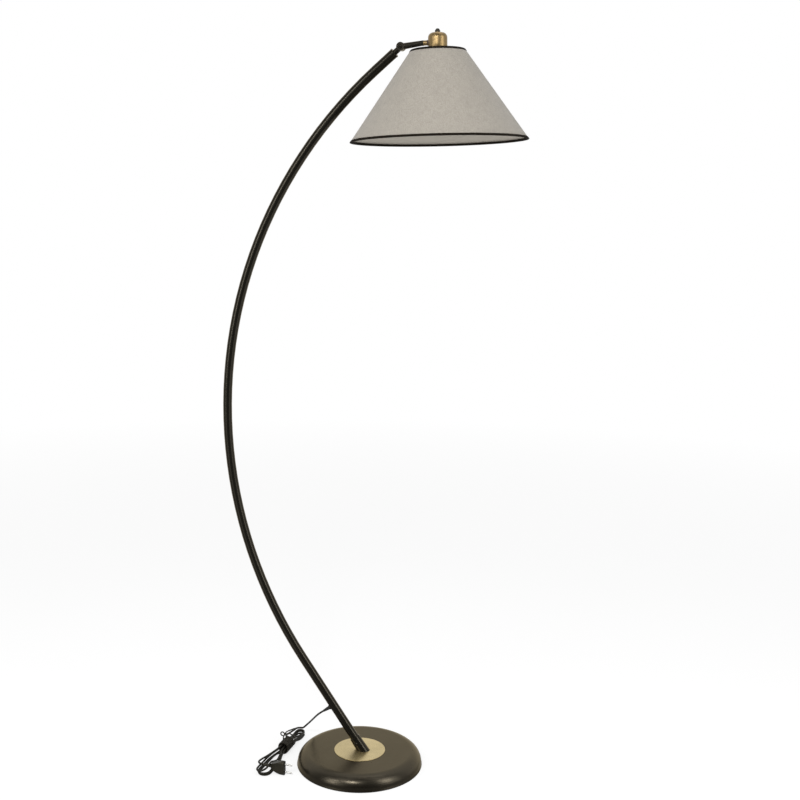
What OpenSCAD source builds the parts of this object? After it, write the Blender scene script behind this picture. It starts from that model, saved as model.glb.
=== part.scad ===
// Bridge floor lamp: a heavy round base, one bent tube, a friction knuckle, and a short arm that carries
// a brass cup, a lampholder and a fabric shade. Millimetres, +Z up, origin on the floor under the centre
// of the base. The stem bends in the XZ plane, away to -X and back to the shade at +X.

/* [Base] */
// Radius of the base at the floor
base_r = 150; // [130:1:180]
// Height of the base cover
base_h = 33.5; // [28:0.5:45]
// Radius of the soft shoulder round the top
shoulder_r = 27; // [15:0.5:27]
// How far the side flares out from the shoulder to the floor
base_flare = 1.5; // [0:0.5:4]
// Wall of the pressed base cover
cover_wall = 1.5; // [1:0.1:2.5]
// Radius of the brass disc
disc_r = 61; // [45:1:75]
// Thickness of the brass disc
disc_t = 1; // [0.6:0.1:2]
// Radius of the cast ballast
ballast_r = 134; // [110:1:136]
// Thickness of the cast ballast
ballast_t = 14; // [10:0.5:18]
// Radius of the boss that carries the stud
ballast_boss_r = 36; // [30:1:45]
// Thickness of the pad under the base
pad_t = 2.5; // [1.5:0.5:4]
// Radius of the hole in the pad and ballast round the nut
nut_well_r = 17; // [15:0.5:22]

/* [Stem] */
// Outer diameter of the tube
tube_d = 21; // [19:0.5:24]
// Wall of the tube
tube_wall = 1.5; // [1:0.1:2.5]
// Where the tube's axis meets the top of the disc
foot_x = 7.5; // [0:0.5:20]
// Lean of the straight foot from the vertical
foot_lean = 36.5; // [30:0.5:42]
// Length of the straight foot, from the disc to the bend
foot_straight = 260; // [200:5:320]
// Radius of the bend, at the tube's axis
arch_r = 1010; // [900:10:1150]
// Angle that the bend turns through
arch_sweep = 86.5; // [80:0.5:90]
// Length of the straight tip above the bend
tip_straight = 52; // [30:1:80]
// Radius of the stem socket at the disc
socket_foot_r = 13.6; // [12.5:0.1:17]
// Radius of the stem socket at its mouth
socket_mouth_r = 12.2; // [11.8:0.1:14]
// Length of the stem socket along the tube
socket_len = 36; // [30:1:50]
// Where the tube's end stands in the socket, along the tube from the disc
socket_seat = 13; // [12:0.5:16]
// Where the cord leaves the stem, along the tube from the disc
cord_exit = 127; // [80:1:180]

/* [Knuckle] */
// From the end of the stem to the pivot
neck_reach = 21; // [18:0.5:30]
// Radius of the neck
neck_r = 6.25; // [5:0.25:8]
// Radius of the two eyes
eye_r = 9.2; // [8:0.1:12]
// Thickness of each eye
eye_t = 7; // [5:0.5:9]
// Radius of the pivot screw
pivot_r = 3; // [2.5:0.25:4]
// Thickness of the friction washer between the eyes
friction_t = 0.6; // [0.4:0.1:1]
// Angle of the head above level as it stands in the photo
head_tilt = 2.4; // [0:0.1:6]

/* [Arm and cup] */
// From the pivot to the axis of the cup
arm_reach = 82; // [70:1:100]
// Height of the nipple above the pivot
nipple_rise = 4.3; // [0:0.1:6]
// Length of the brass nipple between arm and washer
nipple_len = 9; // [6:0.5:14]
// Radius of the brass nipple
nipple_r = 5.4; // [5.2:0.1:7]
// Radius of the arm at the knuckle
arm_root_r = 6.8; // [5.5:0.1:8]
// Radius of the arm at the nipple
arm_tip_r = 5.6; // [5.4:0.1:7]
// Outer radius of the cup
cup_r = 20.6; // [20:0.1:23]
// Wall of the cup
cup_wall = 1.2; // [0.8:0.1:1.6]
// Height of the cup
cup_h = 40; // [36:1:50]
// Top of the cup above the pivot
cup_top = 24; // [20:0.5:30]
// Radius of the cup's shoulder
cup_shoulder = 4.8; // [2:0.1:6]
// Radius of the push button
button_r = 4.2; // [3.5:0.1:4.6]
// Travel of the push button
button_travel = 2.2; // [1.5:0.1:2.5]
// How far the button stands above its bezel
button_proud = 3.4; // [2.6:0.1:6]

/* [Shade] */
// Radius of the shade at its top edge
shade_top_r = 58.6; // [50:0.2:70]
// Radius of the shade at its bottom edge
shade_bottom_r = 194.4; // [170:0.2:200]
// Height of the shade
shade_h = 192; // [170:1:210]
// Top edge of the shade below the pivot
shade_drop = 11; // [8:0.5:16]
// Thickness of the fabric layer
fabric_t = 0.8; // [0.5:0.1:1.5]
// Thickness of the lining
liner_t = 0.6; // [0.4:0.1:1]
// Radius of the frame wires
wire_r = 1.5; // [1.2:0.1:2]
// Height of the trim over each edge
trim_h = 5; // [4:0.5:10]
// Thickness of the trim
trim_t = 0.6; // [0.4:0.1:1]
// How far the fitter ring hangs below the top edge
fitter_drop = 20; // [15:1:26]

/* [Lampholder and bulb] */
// Radius of the threaded skirt of the lampholder
skirt_r = 19.8; // [19:0.1:20]
// Length of the lampholder below the cup
skirt_len = 42; // [38:1:50]
// Radius of the flange that the shade hangs against
flange_r = 24; // [23:0.5:27]
// Radius of the bulb's cap
bulb_cap_r = 13.2; // [13:0.1:13.3]
// Radius of the bulb
bulb_r = 30; // [22:1:35]
// Length of the bulb's glass
bulb_len = 82; // [75:1:95]

/* [Cord] */
// Diameter of the cord
cord_d = 4.6; // [4.4:0.1:4.8]
// Length of the plug's body
plug_len = 33; // [30:1:38]
// Height of the plug's face
plug_face = 35; // [32:0.5:36]
// Thickness of the plug
plug_t = 13.7; // [12:0.1:15]
// Length of the plug's strain relief
relief_len = 20; // [20:1:24]

/* [Hidden] */
$fn = 64;
fine = 0.05;
hair = 0.08;
bend_lap = 2;
// Clearance on the radius where one piece turns or slides in another
running = 0.05;
// Clearance on the radius where a fixed piece passes through a hole
passing = 0.2;

cord_r = cord_d / 2;

// Bolt sizes
stud_r = 5;
nut_af = 17;
nut_h = 8;
stud_washer_r = 10.5;
stud_washer_t = 2;
socket_screw_r = 2.5;
socket_screw_head_r = 4;
socket_screw_head_h = 2.6;

// Colours
black = "#1c1b19";
iron = "#4a4a4a";
brass = "#b5985c";
steel = "#b9b9b5";
bakelite = "#151515";
fabric = "#b7b1a5";
cream = "#efe6d2";
trim = "#2a1f1a";

// Base
disc_top = base_h + disc_t;
shoulder_x = base_r - base_flare - shoulder_r;
cover_foot = 0.8;
ballast_under = pad_t;
boss_top = base_h - cover_wall;
nut_well_top = 15.5;
pad_r = ballast_r + 8;

// Stem: every place along it follows from the foot, the bend and the tip
tube_r = tube_d / 2;
bore_r = tube_r - tube_wall;
arch_c = [foot_x - foot_straight * sin(foot_lean) + arch_r * cos(foot_lean),
          disc_top + foot_straight * cos(foot_lean) + arch_r * sin(foot_lean)];
tip_rise = arch_sweep - foot_lean;
arch_end = [arch_c[0] - arch_r * cos(tip_rise), arch_c[1] + arch_r * sin(tip_rise)];
tip_dir = [sin(tip_rise), cos(tip_rise)];
tip_end = arch_end + tip_straight * tip_dir;
pivot = tip_end + neck_reach * tip_dir;
plug_flange_t = 2.5;
plug_flange_r = tube_r + 0.5;
plug_depth = 16;
neck_thread_r = 5;
stem_wire_r = 1.1;
wire_bend = bore_r - 1.5;
stud_foot = nut_well_top - stud_washer_t - nut_h - 1.5;
stud_top = disc_top + 10.5;
socket_screw_at = 21.8;
socket_screw_seat = socket_mouth_r + 0.3;
relief_hole_r = 4.2;
relief_lip_r = 5.6;
relief_root_r = 4.6;
relief_tip_r = cord_r + 0.7;
stem_relief_len = 20;
rib_step = 4;
rib_cut = 0.7;

// Knuckle: the neck's eye is behind the arm's eye, and both are in the thickness of the neck
eye_gap = friction_t;
screw_head_r = 5.2;
screw_head_h = 3;
knuckle_nut_af = 10;
knuckle_nut_h = 4.5;
eye_clear = eye_r + 0.4;

// Head, in its own frame: origin at the pivot, X along the arm, before the tilt
nipple_start = arm_reach - cup_r - nipple_len - 1.8;
washer_start = nipple_start + nipple_len;
thread_r = 4.5;
thread_len = 9;
arm_tip_len = 3;
arm_cone_len = nipple_start - arm_tip_len;
arm_slope = atan(nipple_rise / arm_cone_len);
cup_bottom = cup_top - cup_h;
cup_bore = cup_r - cup_wall;
bush_r = 5;
switch_washer_t = 1.2;
switch_washer_r = 6.4;
bezel_r = 5.7;
bezel_h = 4.2;
bezel_bottom = cup_top + switch_washer_t;
bezel_top = bezel_bottom + bezel_h;
button_top = bezel_top + button_proud;
button_foot = bezel_top - 0.7;
bush_top = button_foot - button_travel - 0.3;
button_stem_r = 2.2;
button_stem_len = 9;
switch_h = 16;
switch_r = 9;

thread_in = arm_reach - cup_bore + 6.5;
nipple_bore_r = 2.6;
nipple_nut_af = 14;
nipple_nut_end = arm_reach - cup_bore + 5.2;
button_crown = 1.4;

// Lampholder
dome_r = cup_bore - passing;
dome_top = cup_bottom + 13;
skirt_top = cup_bottom;
skirt_bottom = skirt_top - skirt_len;
holder_bore = 15;
insert_top = skirt_top - 6;
insert_bottom = insert_top - 6;
sleeve_wall = 0.8;
sleeve_r = bulb_cap_r + sleeve_wall + 0.15;
contact_t = 3;
flange_t = 3;
sleeve_len = 24;
cap_top = insert_bottom - contact_t;
cap_len = 27;
cap_bottom = cap_top - cap_len;
glass_bottom = cap_bottom - bulb_len;

// Shade
shade_top = -shade_drop;
shade_bottom = shade_top - shade_h;
shade_slope = (shade_bottom_r - shade_top_r) / shade_h;
skin_t = fabric_t + liner_t;
fitter_t = 2;
fitter_top = shade_top - fitter_drop;
fitter_r = flange_r + 2;
fitter_hole = skirt_r + 0.5;
ring_nut_h = 6;
ring_nut_r = 26;
lift_wire = wire_r + trim_t;
top_wire_z = shade_top - lift_wire;
bottom_wire_z = shade_bottom + lift_wire;
frame_arms = 3;
// The wire arms start in the fitter's edge, outside the lampholder's flange
arm_root = flange_r + 1;
arm_root_drop = fitter_t - 1.3;
// The trims' lip reaches over fabric, lining and rim wire
trim_lip = trim_t + skin_t + 2 * wire_r;
trim_back = trim_lip + 3 * fine;

// Radius of the outside of the shade at a height
function shade_at(z) = shade_top_r + (shade_top - z) * shade_slope;
// Radius at which a rim wire lies against the lining
function wire_at(z) = shade_at(z) - (trim_t + skin_t + wire_r + fine) * sqrt(1 + shade_slope * shade_slope);

// Cord. It leaves the stem low at the back, hangs to the floor beside the base and is folded into a hank
// along Y. The lead comes in on top of the upper end, binds the waist, and then makes three loops that lie
// on each other; the last run leaves on the left as the tail and turns into the plug.
cord_gap = 0.6;
layer = cord_d + cord_gap;
bind_step = cord_d + 0.8;
// Radius of the folds at the lower and at the upper end
fold_r = 3 * cord_d;
top_r = 2 * cord_d;
hank_x = -190;
waist_y = -5;
waist_in = 25;
waist_out = 72;
waist_half = [3, 6.5, 2.6];
waist_lift = cord_d + 1.8;
fold_up = [[-188.5, 83], [-189, 84], [-188, 81], [-191, 81]];
fold_low = [[-192, -126], [-192.5, -129], [-195, -131]];
bind_turns = 6.5;
bind_start = 12;
bind_a = waist_half[1] + cord_d + 1.2;
bind_top = cord_r + 2.5 * layer + waist_lift + cord_d + 2;
bind_low = cord_r + 0.1;
lead_in = 110;
tail_y = -62;
hump = 11.9;
hump_half = 42;
climb_half = 62;
over_a = [-201.5, 46, 21];
over_b = [-208, 12, 28.8];
under_a = [-209, -22.5, 2.3];
under_b = [-205, -50, 2.3];
under_y = -84;
lead_route = [[-109.6, 6.1, 104.1], [-117.2, 15.4, 95.7], [-124.3, 25.3, 87.5], [-131.1, 35.4, 79.4],
              [-137.9, 45.6, 71.2], [-144.7, 55.7, 63], [-151.6, 65.6, 54.7], [-158.8, 75.1, 46.2],
              [-166.6, 83.8, 37.3], [-175.2, 90.9, 27.8]];
tail_route = [[-206.5, -76, 18.5], [-210, -86, 18], [-213.5, -95.5, 17.5], [-215.5, -104.5, 17],
              [-214, -112, 17.6], [-209, -117.5, 18]];
// Wire tie
tie_r = 1;
tie_y = 18;
tie_step = 3;
tie_c = [-192, 17.9];
tie_a = 16.8;
tie_from = 30;
tie_ring_r = 4.6;
tie_end = [[-205, 27, 30.5], [-202, 35, 32], [-198, 46, 31], [-196, 56, 29.5], [-194, 66, 27],
           [-192, 76, 24], [-190, 84, 22]];

plug_face_x = -144.5;
plug_y = -119.5;
plug_z = plug_face / 2;
plug_back_x = plug_face_x - plug_len;
relief_x = plug_back_x - relief_len;
pin_r = 2;
pin_len = 19;
pin_gap = 19;
pin_seat = 9;
plug_back_h = 14;
plug_relief_r = 4.5;

// Helpers

// A ring or tube standing on its lower face
module ring(outer, inner, h) {
    difference() {
        cylinder(r = outer, h = h);
        translate([0, 0, -1]) cylinder(r = inner, h = h + 2);
    }
}

// A hexagon nut or bolt head with a round hole
module hex_nut(across_flats, inner, h) {
    difference() {
        cylinder(r = across_flats / sqrt(3), h = h, $fn = 6);
        translate([0, 0, -1]) cylinder(r = inner, h = h + 2);
    }
}

// Z along the tube's foot, measured from the disc
module on_foot(along) {
    translate([foot_x, 0, disc_top]) rotate([0, -foot_lean, 0]) translate([0, 0, along]) children();
}

// Z along the stem's tip, from the open end of the tube
module on_tip(along) {
    translate([tip_end[0], 0, tip_end[1]]) rotate([0, tip_rise, 0]) translate([0, 0, along]) children();
}

// The head's own frame, from the pivot
module in_head() {
    translate([pivot[0], 0, pivot[1]]) rotate([0, -head_tilt, 0]) children();
}

// The axis of cup, lampholder and shade
module on_cup() {
    in_head() translate([arm_reach, 0, 0]) children();
}

// A round bar or tube along the stem's line, from a place on the foot to a place on the tip. The bend is
// thinner by a hair at both walls, so that its ends lie inside the straight stretches that lap over them.
module stem_bar(outer, inner, from, to) {
    on_foot(from) bar_section(outer, inner, foot_straight - from + bend_lap);
    translate([arch_c[0], 0, arch_c[1]]) rotate([90, 0, 0]) rotate([0, 0, 180 - tip_rise])
        rotate_extrude(angle = arch_sweep, $fn = 720) translate([arch_r, 0]) difference() {
            circle(r = outer - hair, $fn = 64);
            if (inner > 0) circle(r = inner + hair, $fn = 64);
        }
    on_tip(-tip_straight - bend_lap) bar_section(outer, inner, tip_straight + to + bend_lap);
}

module bar_section(outer, inner, h) {
    if (inner > 0) ring(outer, inner, h);
    else cylinder(r = outer, h = h);
}

// Sweeps of the cord

function unit(v) = v / norm(v);
function ease(t) = let (u = min(1, max(0, t))) u * u * (3 - 2 * u);
function bezier(a, b, c, d, t) =
    pow(1 - t, 3) * a + 3 * t * pow(1 - t, 2) * b + 3 * t * t * (1 - t) * c + pow(t, 3) * d;

// Direction of a line of points at one of them
function heading(p, i) =
    i == 0 ? unit(p[1] - p[0]) :
    i == len(p) - 1 ? unit(p[i] - p[i - 1]) :
    unit(unit(p[i] - p[i - 1]) + unit(p[i + 1] - p[i]));

// A direction square to v at each point, carried along the line without twist
function square_to(v, t) = unit(v - (v * t) * t);
function sideways(p) = [
    for (i = 0, v = square_to([0.1, 0.2, 1], heading(p, 0)); i < len(p);
         i = i + 1, v = i < len(p) ? square_to(v, heading(p, i)) : v) v
];

// One tube along a line of points, made of triangles
module tube(p, radius, count) {
    u = sideways(p);
    last = (len(p) - 1) * count;
    rings = [
        for (i = [0 : len(p) - 1], k = [0 : count - 1])
            p[i] + radius * (cos(360 * k / count) * u[i] + sin(360 * k / count) * cross(heading(p, i), u[i]))
    ];
    skin = [
        for (i = [0 : len(p) - 2], k = [0 : count - 1], half = [0, 1])
            let (a = i * count + k, b = i * count + (k + 1) % count)
            half == 0 ? [a, a + count, b + count] : [a, b + count, b]
    ];
    caps = [
        for (k = [1 : count - 2], end = [0, 1])
            end == 0 ? [0, k, k + 1] : [last, last + k + 1, last + k]
    ];
    polyhedron(rings, concat(skin, caps));
}

// Base

// Half section of the base's outside, shrunk by a wall
module base_section(wall) {
    r = shoulder_r - wall;
    top = base_h - wall;
    low = base_h - shoulder_r;
    side = shoulder_x + r;
    foot = wall > 0 ? -1 : cover_foot;
    square([shoulder_x, top]);
    intersection() {
        translate([shoulder_x, low]) circle(r = r);
        translate([shoulder_x - 1, low]) square([shoulder_r + 2, shoulder_r + 1]);
    }
    polygon([[0, foot], [side + base_flare, foot], [side, low], [0, low]]);
}

module base_cover() {
    color(black) difference() {
        rotate_extrude() base_section(0);
        rotate_extrude() base_section(cover_wall);
        translate([0, 0, -1]) cylinder(r = shoulder_x, h = cover_foot + 1);
        translate([foot_x, 0, boss_top - 1]) cylinder(r = stud_r + passing, h = cover_wall + 2);
    }
}

module base_ballast() {
    color(iron) difference() {
        union() {
            translate([0, 0, ballast_under]) cylinder(r1 = ballast_r + 1, r2 = ballast_r - 3, h = ballast_t);
            translate([foot_x, 0, ballast_under]) cylinder(r = ballast_boss_r, h = boss_top - ballast_under);
        }
        translate([foot_x, 0, -1]) cylinder(r = nut_well_r, h = nut_well_top + 1);
        translate([foot_x, 0, 0]) cylinder(r = stud_r + passing, h = base_h);
    }
}

module base_pad() {
    color(bakelite) difference() {
        cylinder(r = pad_r, h = pad_t);
        translate([foot_x, 0, -1]) cylinder(r = nut_well_r, h = pad_t + 2);
    }
}

module base_disc() {
    color(brass) translate([0, 0, base_h]) difference() {
        rotate_extrude() {
            square([disc_r - disc_t / 2, disc_t]);
            square([disc_r, disc_t / 2]);
            intersection() {
                translate([disc_r - disc_t / 2, disc_t / 2]) circle(r = disc_t / 2);
                square([disc_r + 1, disc_t]);
            }
        }
        translate([foot_x, 0, -1]) cylinder(r = stud_r + passing, h = disc_t + 2);
    }
}

// The socket is a cone along the tube's line, cut off flat where it stands on the disc
module stem_socket() {
    under = socket_foot_r;
    slope = (socket_foot_r - socket_mouth_r) / socket_len;
    color(black) difference() {
        on_foot(-under) {
            cylinder(r1 = socket_foot_r + slope * under, r2 = socket_mouth_r + 0.6 * slope,
                     h = under + socket_len - 0.6);
            translate([0, 0, under + socket_len - 0.6])
                cylinder(r1 = socket_mouth_r, r2 = socket_mouth_r - 0.6, h = 0.6);
        }
        translate([foot_x - 60, -60, disc_top - 60]) cube([120, 120, 60]);
        on_foot(socket_seat) cylinder(r = tube_r + fine, h = socket_len);
        translate([foot_x, 0, disc_top - 1]) cylinder(r = stud_r, h = stud_top - disc_top + 1.5);
        on_foot(socket_screw_at) rotate([90, 0, 0])
            cylinder(r = socket_screw_r, h = socket_mouth_r + 5);
        on_foot(socket_screw_at) rotate([90, 0, 0]) translate([0, 0, socket_screw_seat])
            cylinder(r = socket_screw_head_r + fine, h = 5);
    }
}

module socket_screw() {
    color(black) on_foot(socket_screw_at) rotate([90, 0, 0]) {
        translate([0, 0, bore_r]) cylinder(r = socket_screw_r, h = socket_screw_seat - bore_r + 0.5);
        difference() {
            translate([0, 0, socket_screw_seat]) dome(socket_screw_head_r, socket_screw_head_h);
            translate([-0.5, -socket_screw_head_r, socket_screw_seat + socket_screw_head_h - 1])
                cube([1, 2 * socket_screw_head_r, 2]);
        }
    }
}

// A round screw head: the cap of a ball on a flat face
module dome(radius, height) {
    ball = (radius * radius + height * height) / (2 * height);
    rotate_extrude() intersection() {
        translate([0, height - ball]) circle(r = ball);
        square([radius, height]);
    }
}

module base_stud() {
    color(steel) translate([foot_x, 0, stud_foot]) cylinder(r = stud_r, h = stud_top - stud_foot);
}

module stud_washer() {
    color(steel) translate([foot_x, 0, nut_well_top - stud_washer_t])
        ring(stud_washer_r, stud_r, stud_washer_t);
}

module stud_nut() {
    color(steel) translate([foot_x, 0, nut_well_top - stud_washer_t - nut_h]) hex_nut(nut_af, stud_r, nut_h);
}

// Stem

module stem_tube() {
    color(black) difference() {
        stem_bar(tube_r, bore_r, socket_seat, 0);
        on_foot(cord_exit) rotate([0, -90, 0]) translate([0, 0, bore_r / 2])
            cylinder(r = relief_hole_r, h = tube_r);
        on_foot(socket_screw_at) rotate([90, 0, 0]) cylinder(r = socket_screw_r, h = tube_r + 2);
    }
}

module stem_end_plug() {
    color(black) on_tip(0) difference() {
        union() {
            rotate_extrude() {
                square([plug_flange_r - 0.8, plug_flange_t]);
                square([plug_flange_r, plug_flange_t - 0.8]);
                intersection() {
                    translate([plug_flange_r - 0.8, plug_flange_t - 0.8]) circle(r = 0.8);
                    square([plug_flange_r, plug_flange_t]);
                }
            }
            translate([0, 0, -plug_depth]) cylinder(r = bore_r, h = plug_depth + 0.5);
        }
        translate([0, 0, -plug_depth - 1]) cylinder(r = neck_thread_r, h = plug_depth + plug_flange_t + 2);
    }
}

// The wire comes in through the relief, bends up and follows the tube to the neck
module stem_wire() {
    color(bakelite) {
        on_foot(cord_exit) translate([-wire_bend, 0, wire_bend]) rotate([90, 0, 0]) rotate([0, 0, -90])
            rotate_extrude(angle = 90) translate([wire_bend, 0]) circle(r = stem_wire_r);
        stem_bar(stem_wire_r, 0, cord_exit + wire_bend, 4 - plug_depth);
    }
}

// A strain relief along Z: a cone from its root to its tip, with grooves round it
module ribbed_cone(root, tip, length) {
    difference() {
        cylinder(r1 = root, r2 = tip, h = length);
        for (at = [rib_step : rib_step : length - 3]) translate([0, 0, at])
            ring(root + 1, root + (tip - root) * at / length - rib_cut, 1.5);
    }
}

// Grommet and strain relief: it clips in the tube's wall and tapers down along the cord
module cord_relief() {
    color(bakelite) on_foot(cord_exit) rotate([0, -90, 0]) {
        intersection() {
            translate([0, 0, bore_r - 1.5]) cylinder(r = relief_lip_r - 1, h = 2);
            rotate([0, 90, 0]) translate([0, 0, -30]) cylinder(r = bore_r, h = 60);
        }
        translate([0, 0, bore_r - 1.5]) cylinder(r = relief_hole_r, h = tube_wall + 2.5);
        intersection() {
            translate([0, 0, bore_r]) cylinder(r = relief_lip_r, h = tube_wall + 2.4);
            difference() {
                translate([0, 0, bore_r]) cylinder(r = relief_lip_r, h = tube_wall + 2.4);
                rotate([0, 90, 0]) translate([0, 0, -30]) cylinder(r = tube_r, h = 60);
            }
        }
        translate([0, 0, tube_r + 1]) ribbed_cone(relief_root_r, relief_tip_r, stem_relief_len - 1);
    }
}

// Knuckle: two eyes side by side on one screw. The neck's eye is the rear one, and each casting is cut
// away round the other's eye so that the head can turn.

// A disc across the pivot, from one place on Y to another
module eye_disc(radius, from, to) {
    translate([0, to, 0]) rotate([90, 0, 0]) cylinder(r = radius, h = to - from);
}

module knuckle_neck() {
    color(black) difference() {
        union() {
            difference() {
                on_tip(plug_flange_t) cylinder(r = neck_r, h = neck_reach - plug_flange_t);
                at_pivot() eye_disc(eye_clear, -eye_t - 5, eye_gap / 2);
            }
            on_tip(1 - plug_depth) cylinder(r = neck_thread_r, h = plug_depth + plug_flange_t);
            at_pivot() eye_disc(eye_r, eye_gap / 2, eye_gap / 2 + eye_t);
        }
        at_pivot() eye_disc(pivot_r, -eye_t, eye_t + 5);
        on_tip(-plug_depth) cylinder(r = stem_wire_r + passing, h = plug_depth + 6);
    }
}

module at_pivot() {
    translate([pivot[0], 0, pivot[1]]) children();
}

module knuckle_screw() {
    front = -eye_gap / 2 - eye_t - fine;
    color(black) at_pivot() difference() {
        union() {
            eye_disc(pivot_r, front - 1, eye_gap / 2 + eye_t + knuckle_nut_h + 1);
            translate([0, front, 0]) rotate([90, 0, 0]) dome(screw_head_r, screw_head_h);
        }
        rotate([0, 30, 0]) translate([-0.6, front - screw_head_h - 1, -screw_head_r])
            cube([1.2, 2.1, 2 * screw_head_r]);
    }
}

module knuckle_washer() {
    color(bakelite) at_pivot() difference() {
        eye_disc(eye_r - 0.4, -eye_gap / 2 + fine, eye_gap / 2);
        eye_disc(pivot_r, -eye_gap, eye_gap);
    }
}

module knuckle_nut() {
    color(steel) at_pivot() translate([0, eye_gap / 2 + eye_t, 0]) rotate([-90, 0, 0])
        hex_nut(knuckle_nut_af, pivot_r, knuckle_nut_h);
}

module arm() {
    color(black) in_head() difference() {
        union() {
            difference() {
                rotate([0, 90 - arm_slope, 0])
                    cylinder(r1 = arm_root_r, r2 = arm_tip_r, h = arm_cone_len / cos(arm_slope) + 1);
                eye_disc(eye_clear, -eye_gap / 2, eye_t + 5);
            }
            on_nipple_line(arm_cone_len) cylinder(r = arm_tip_r + 0.2, h = arm_tip_len);
            eye_disc(eye_r, -eye_gap / 2 - eye_t, -eye_gap / 2);
        }
        eye_disc(pivot_r + running, -eye_t - 2, 5);
        on_nipple_line(nipple_start - thread_len) cylinder(r = thread_r, h = thread_len + 1);
        rotate([0, 90 - arm_slope, 0]) translate([0, 0, eye_clear + 4])
            cylinder(r = stem_wire_r + 0.4, h = nipple_start);
    }
}

module arm_wire() {
    color(bakelite) in_head() {
        rotate([0, 90 - arm_slope, 0]) translate([0, 0, eye_clear + 4])
            cylinder(r = stem_wire_r, h = arm_cone_len / cos(arm_slope) - eye_clear - 3.5);
        on_nipple_line(arm_cone_len) cylinder(r = stem_wire_r + 0.1, h = arm_reach - switch_r - arm_cone_len);
    }
}

// Z along the nipple, without the head's tilt
module on_nipple_line(along) {
    translate([along, 0, nipple_rise]) rotate([0, 90, 0]) children();
}

module nipple() {
    start = nipple_start - thread_len;
    color(brass) in_head() on_nipple_line(start) difference() {
        union() {
            cylinder(r = thread_r, h = thread_in - start);
            translate([0, 0, thread_len]) cylinder(r = nipple_r, h = nipple_len);
        }
        translate([0, 0, -1]) cylinder(r = nipple_bore_r, h = thread_in - start + 2);
    }
}

module nipple_washer() {
    color(trim) in_head() difference() {
        on_nipple_line(washer_start) ring(nipple_r + 0.6, thread_r, cup_r);
        translate([arm_reach, 0, cup_bottom]) cylinder(r = cup_r, h = cup_h);
    }
}

// The nut's face is hollowed to seat on the round wall
module nipple_nut() {
    color(steel) in_head() intersection() {
        on_nipple_line(arm_reach - cup_r) hex_nut(nipple_nut_af, thread_r, nipple_nut_end - arm_reach + cup_r);
        translate([arm_reach, 0, cup_bottom]) cylinder(r = cup_bore, h = cup_h);
    }
}

// Half section of the cup, shrunk by a wall
module cup_section(wall) {
    r = cup_shoulder - wall;
    top = cup_top - wall;
    side = cup_r - wall;
    low = wall > 0 ? cup_bottom - 1 : cup_bottom;
    translate([0, low]) square([side - r, top - low]);
    translate([0, low]) square([side, top - r - low]);
    intersection() {
        translate([side - r, top - r]) circle(r = r);
        translate([side - r, top - r]) square([r + 1, r + 1]);
    }
}

module cup() {
    color(brass) in_head() difference() {
        translate([arm_reach, 0, 0]) difference() {
            rotate_extrude() cup_section(0);
            rotate_extrude() cup_section(cup_wall);
            translate([0, 0, cup_top - cup_wall - 1]) cylinder(r = bush_r, h = cup_wall + 2);
        }
        on_nipple_line(arm_reach - cup_r - 1) cylinder(r = thread_r, h = cup_r / 2);
    }
}

// Push switch: body under the cup's top, threaded bush through it, washer and bezel on top
module switch_body() {
    top = cup_top - cup_wall;
    color(bakelite) on_cup() difference() {
        union() {
            translate([0, 0, top - switch_h]) cylinder(r = switch_r, h = switch_h);
            translate([0, 0, top - 1]) cylinder(r = bush_r, h = bush_top - top + 1);
        }
        translate([0, 0, button_foot - button_stem_len - button_travel - 1])
            cylinder(r = button_stem_r + running, h = 40);
    }
}

module switch_washer() {
    color(brass) on_cup() translate([0, 0, cup_top]) ring(switch_washer_r, bush_r, switch_washer_t);
}

module switch_bezel() {
    color(bakelite) on_cup() translate([0, 0, bezel_bottom]) difference() {
        union() {
            cylinder(r = bezel_r, h = bezel_h - 1);
            translate([0, 0, bezel_h - 1]) cylinder(r1 = bezel_r, r2 = bezel_r - 0.7, h = 1);
        }
        translate([0, 0, -1]) cylinder(r = bush_r, h = bush_top - bezel_bottom + 1);
        translate([0, 0, -1]) cylinder(r = button_r + running, h = bezel_h + 2);
    }
}

module push_button() {
    tall = button_top - button_foot;
    color(bakelite) on_cup() translate([0, 0, button_foot]) {
        cylinder(r = button_r, h = tall - button_crown);
        translate([0, 0, tall - button_crown]) dome(button_r, button_crown);
        translate([0, 0, -button_stem_len]) cylinder(r = button_stem_r, h = button_stem_len + 0.5);
    }
}

// Lampholder: its dome fills the cup's mouth, a lip carries the cup, the skirt is threaded for the ring nut
module lampholder_body() {
    color(bakelite) on_cup() difference() {
        union() {
            translate([0, 0, skirt_top - 0.5]) cylinder(r = dome_r, h = dome_top - skirt_top - 3);
            translate([0, 0, dome_top - 3.5]) cylinder(r1 = dome_r, r2 = dome_r - 7, h = 3.5);
            translate([0, 0, skirt_bottom]) cylinder(r = skirt_r, h = skirt_len);
            translate([0, 0, skirt_top - 2.5]) cylinder(r = cup_r, h = 2.5);
            translate([0, 0, fitter_top]) cylinder(r = flange_r, h = flange_t);
        }
        translate([0, 0, skirt_bottom - 1]) cylinder(r = holder_bore, h = insert_top - skirt_bottom + 1);
        translate([0, 0, insert_top - 1]) cylinder(r = 3, h = 40);
    }
}

module lampholder_insert() {
    color("#e8e4da") on_cup() translate([0, 0, insert_bottom]) difference() {
        cylinder(r = holder_bore - fine, h = insert_top - insert_bottom);
        translate([0, 0, -1]) cylinder(r = 1.6, h = 3);
        for (side = [-1, 1]) translate([7 * side, 0, -1]) cylinder(r = 1.5, h = 20);
    }
}

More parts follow.
